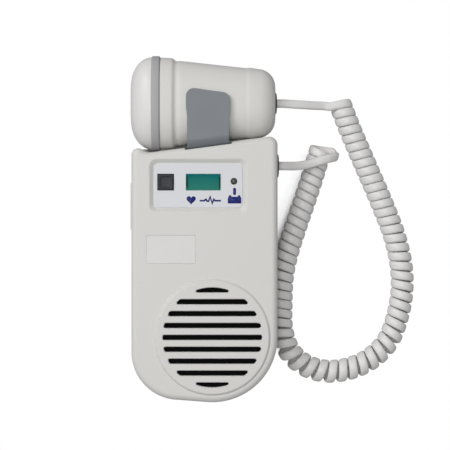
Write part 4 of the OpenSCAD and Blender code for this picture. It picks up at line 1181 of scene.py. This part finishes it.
place(make_gland("probe_gland_flange", TAIL_X1 - GLAND_SEAT, PROBE_Y, PROBE_Z, 5.45, 4.3),
      "probe", GLAND, "black_plastic", "probe_cord_gland")

paint(cord, JACKET)
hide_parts("cord_curl", "cord_lead_probe", "cord_lead_unit")
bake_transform(cord)
[tuple(p * MM) for p in cord_path]

for node, mat in {"display_lens": LENS_MAT, "lcd_module": GLASS, "status_led": LAMP,
                  "grille_screen": CLOTH, "speaker_gasket": FOAM, "speaker_frame": STEEL,
                  "speaker_cone": PAPER, "speaker_magnet": FERRITE, "main_board": BOARD,
                  "button_switch": FOAM, "battery": CAN, "battery_snap": FOAM,
                  "rocker_pin": STEEL, "rocker_switches": FOAM, "clip_screws": STEEL,
                  "housing_screws": STEEL, "crystal_discs": CERAMIC, "crystal_backing": EPOXY,
                  "probe_board": BOARD, "probe_screws": STEEL}.items():
    paint_node(node, mat)

# ---------------------------------------------------------------- stage and light
# The camera sees the floor as white, with painted shadow where ambient occlusion finds narrow gaps
# under and between the parts; every other ray meets a matt grey table.
# It lies just under the lowest points of the cord.
FLOOR_TONE = "#b4b4b4"
FLOOR_Z = -0.15
FLOOR_HALF = 3000
WHITE = bpy.data.materials.new("floor_pale")
WHITE.use_nodes = True
tree = WHITE.node_tree
tree.nodes.clear()
out = add_node(tree, "ShaderNodeOutputMaterial", (600, 0))
either = add_node(tree, "ShaderNodeMixShader", (400, 0))
rays = add_node(tree, "ShaderNodeLightPath", (0, 300))
matt = add_node(tree, "ShaderNodeBsdfDiffuse", (0, 0), Color=linear(FLOOR_TONE))
glow = add_node(tree, "ShaderNodeEmission", (0, -200), Strength=1.0)
# Painted shadow: the white that the camera sees goes dark where the parts crowd close over the
# floor
nearby = add_node(tree, "ShaderNodeAmbientOcclusion", (-600, -200), Distance=0.05)
painted_gap_shadow = add_node(tree, "ShaderNodeMapRange", (-400, -200), From_Min=0.05, From_Max=0.22,
                To_Min=0.03, To_Max=1.0)
tree.links.new(nearby.outputs["AO"], painted_gap_shadow.inputs["Value"])
tree.links.new(painted_gap_shadow.outputs["Result"], glow.inputs["Color"])
tree.links.new(rays.outputs["Is Camera Ray"], either.inputs["Fac"])
tree.links.new(matt.outputs["BSDF"], either.inputs[1])
tree.links.new(glow.outputs["Emission"], either.inputs[2])
tree.links.new(either.outputs["Shader"], out.inputs["Surface"])
corners = [(-1, -1), (1, -1), (1, 1), (-1, 1)]
floor = piece("floor", [(FLOOR_HALF * u, FLOOR_HALF * v, FLOOR_Z) for u, v in corners],
              [(0, 1, 2, 3)], smooth=False)
paint(floor, WHITE)
floor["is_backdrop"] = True


def area_light(name, at, size, power, aim=(0, 0.02, 0.0)):
    data = bpy.data.lights.new(name, "AREA")
    data.shape = "RECTANGLE"
    data.size, data.size_y = size
    data.energy = power
    lamp = bpy.data.objects.new(name, data)
    lamp.location = at
    lamp.rotation_euler = (Vector(aim) - Vector(at)).to_track_quat("-Z", "Y").to_euler()
    bpy.context.collection.objects.link(lamp)
    return lamp


area_light("key_softbox", (-0.75, 0.55, 0.95), (0.6, 0.6), 7.0)
area_light("top_softbox", (-0.15, 0.15, 1.6), (0.9, 0.9), 8.6)
world = bpy.data.worlds.new("studio")
world.use_nodes = True
world.node_tree.nodes["Background"].inputs["Color"].default_value = linear("#ffffff")
world.node_tree.nodes["Background"].inputs["Strength"].default_value = 0.3
bpy.context.scene.world = world
bpy.context.scene.view_settings.view_transform = "Standard"

({"cad_mm": [[c / MM for c in p] for p in CAD_BOUNDS],
           "visual_mm": [[c / MM for c in p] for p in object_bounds()]})
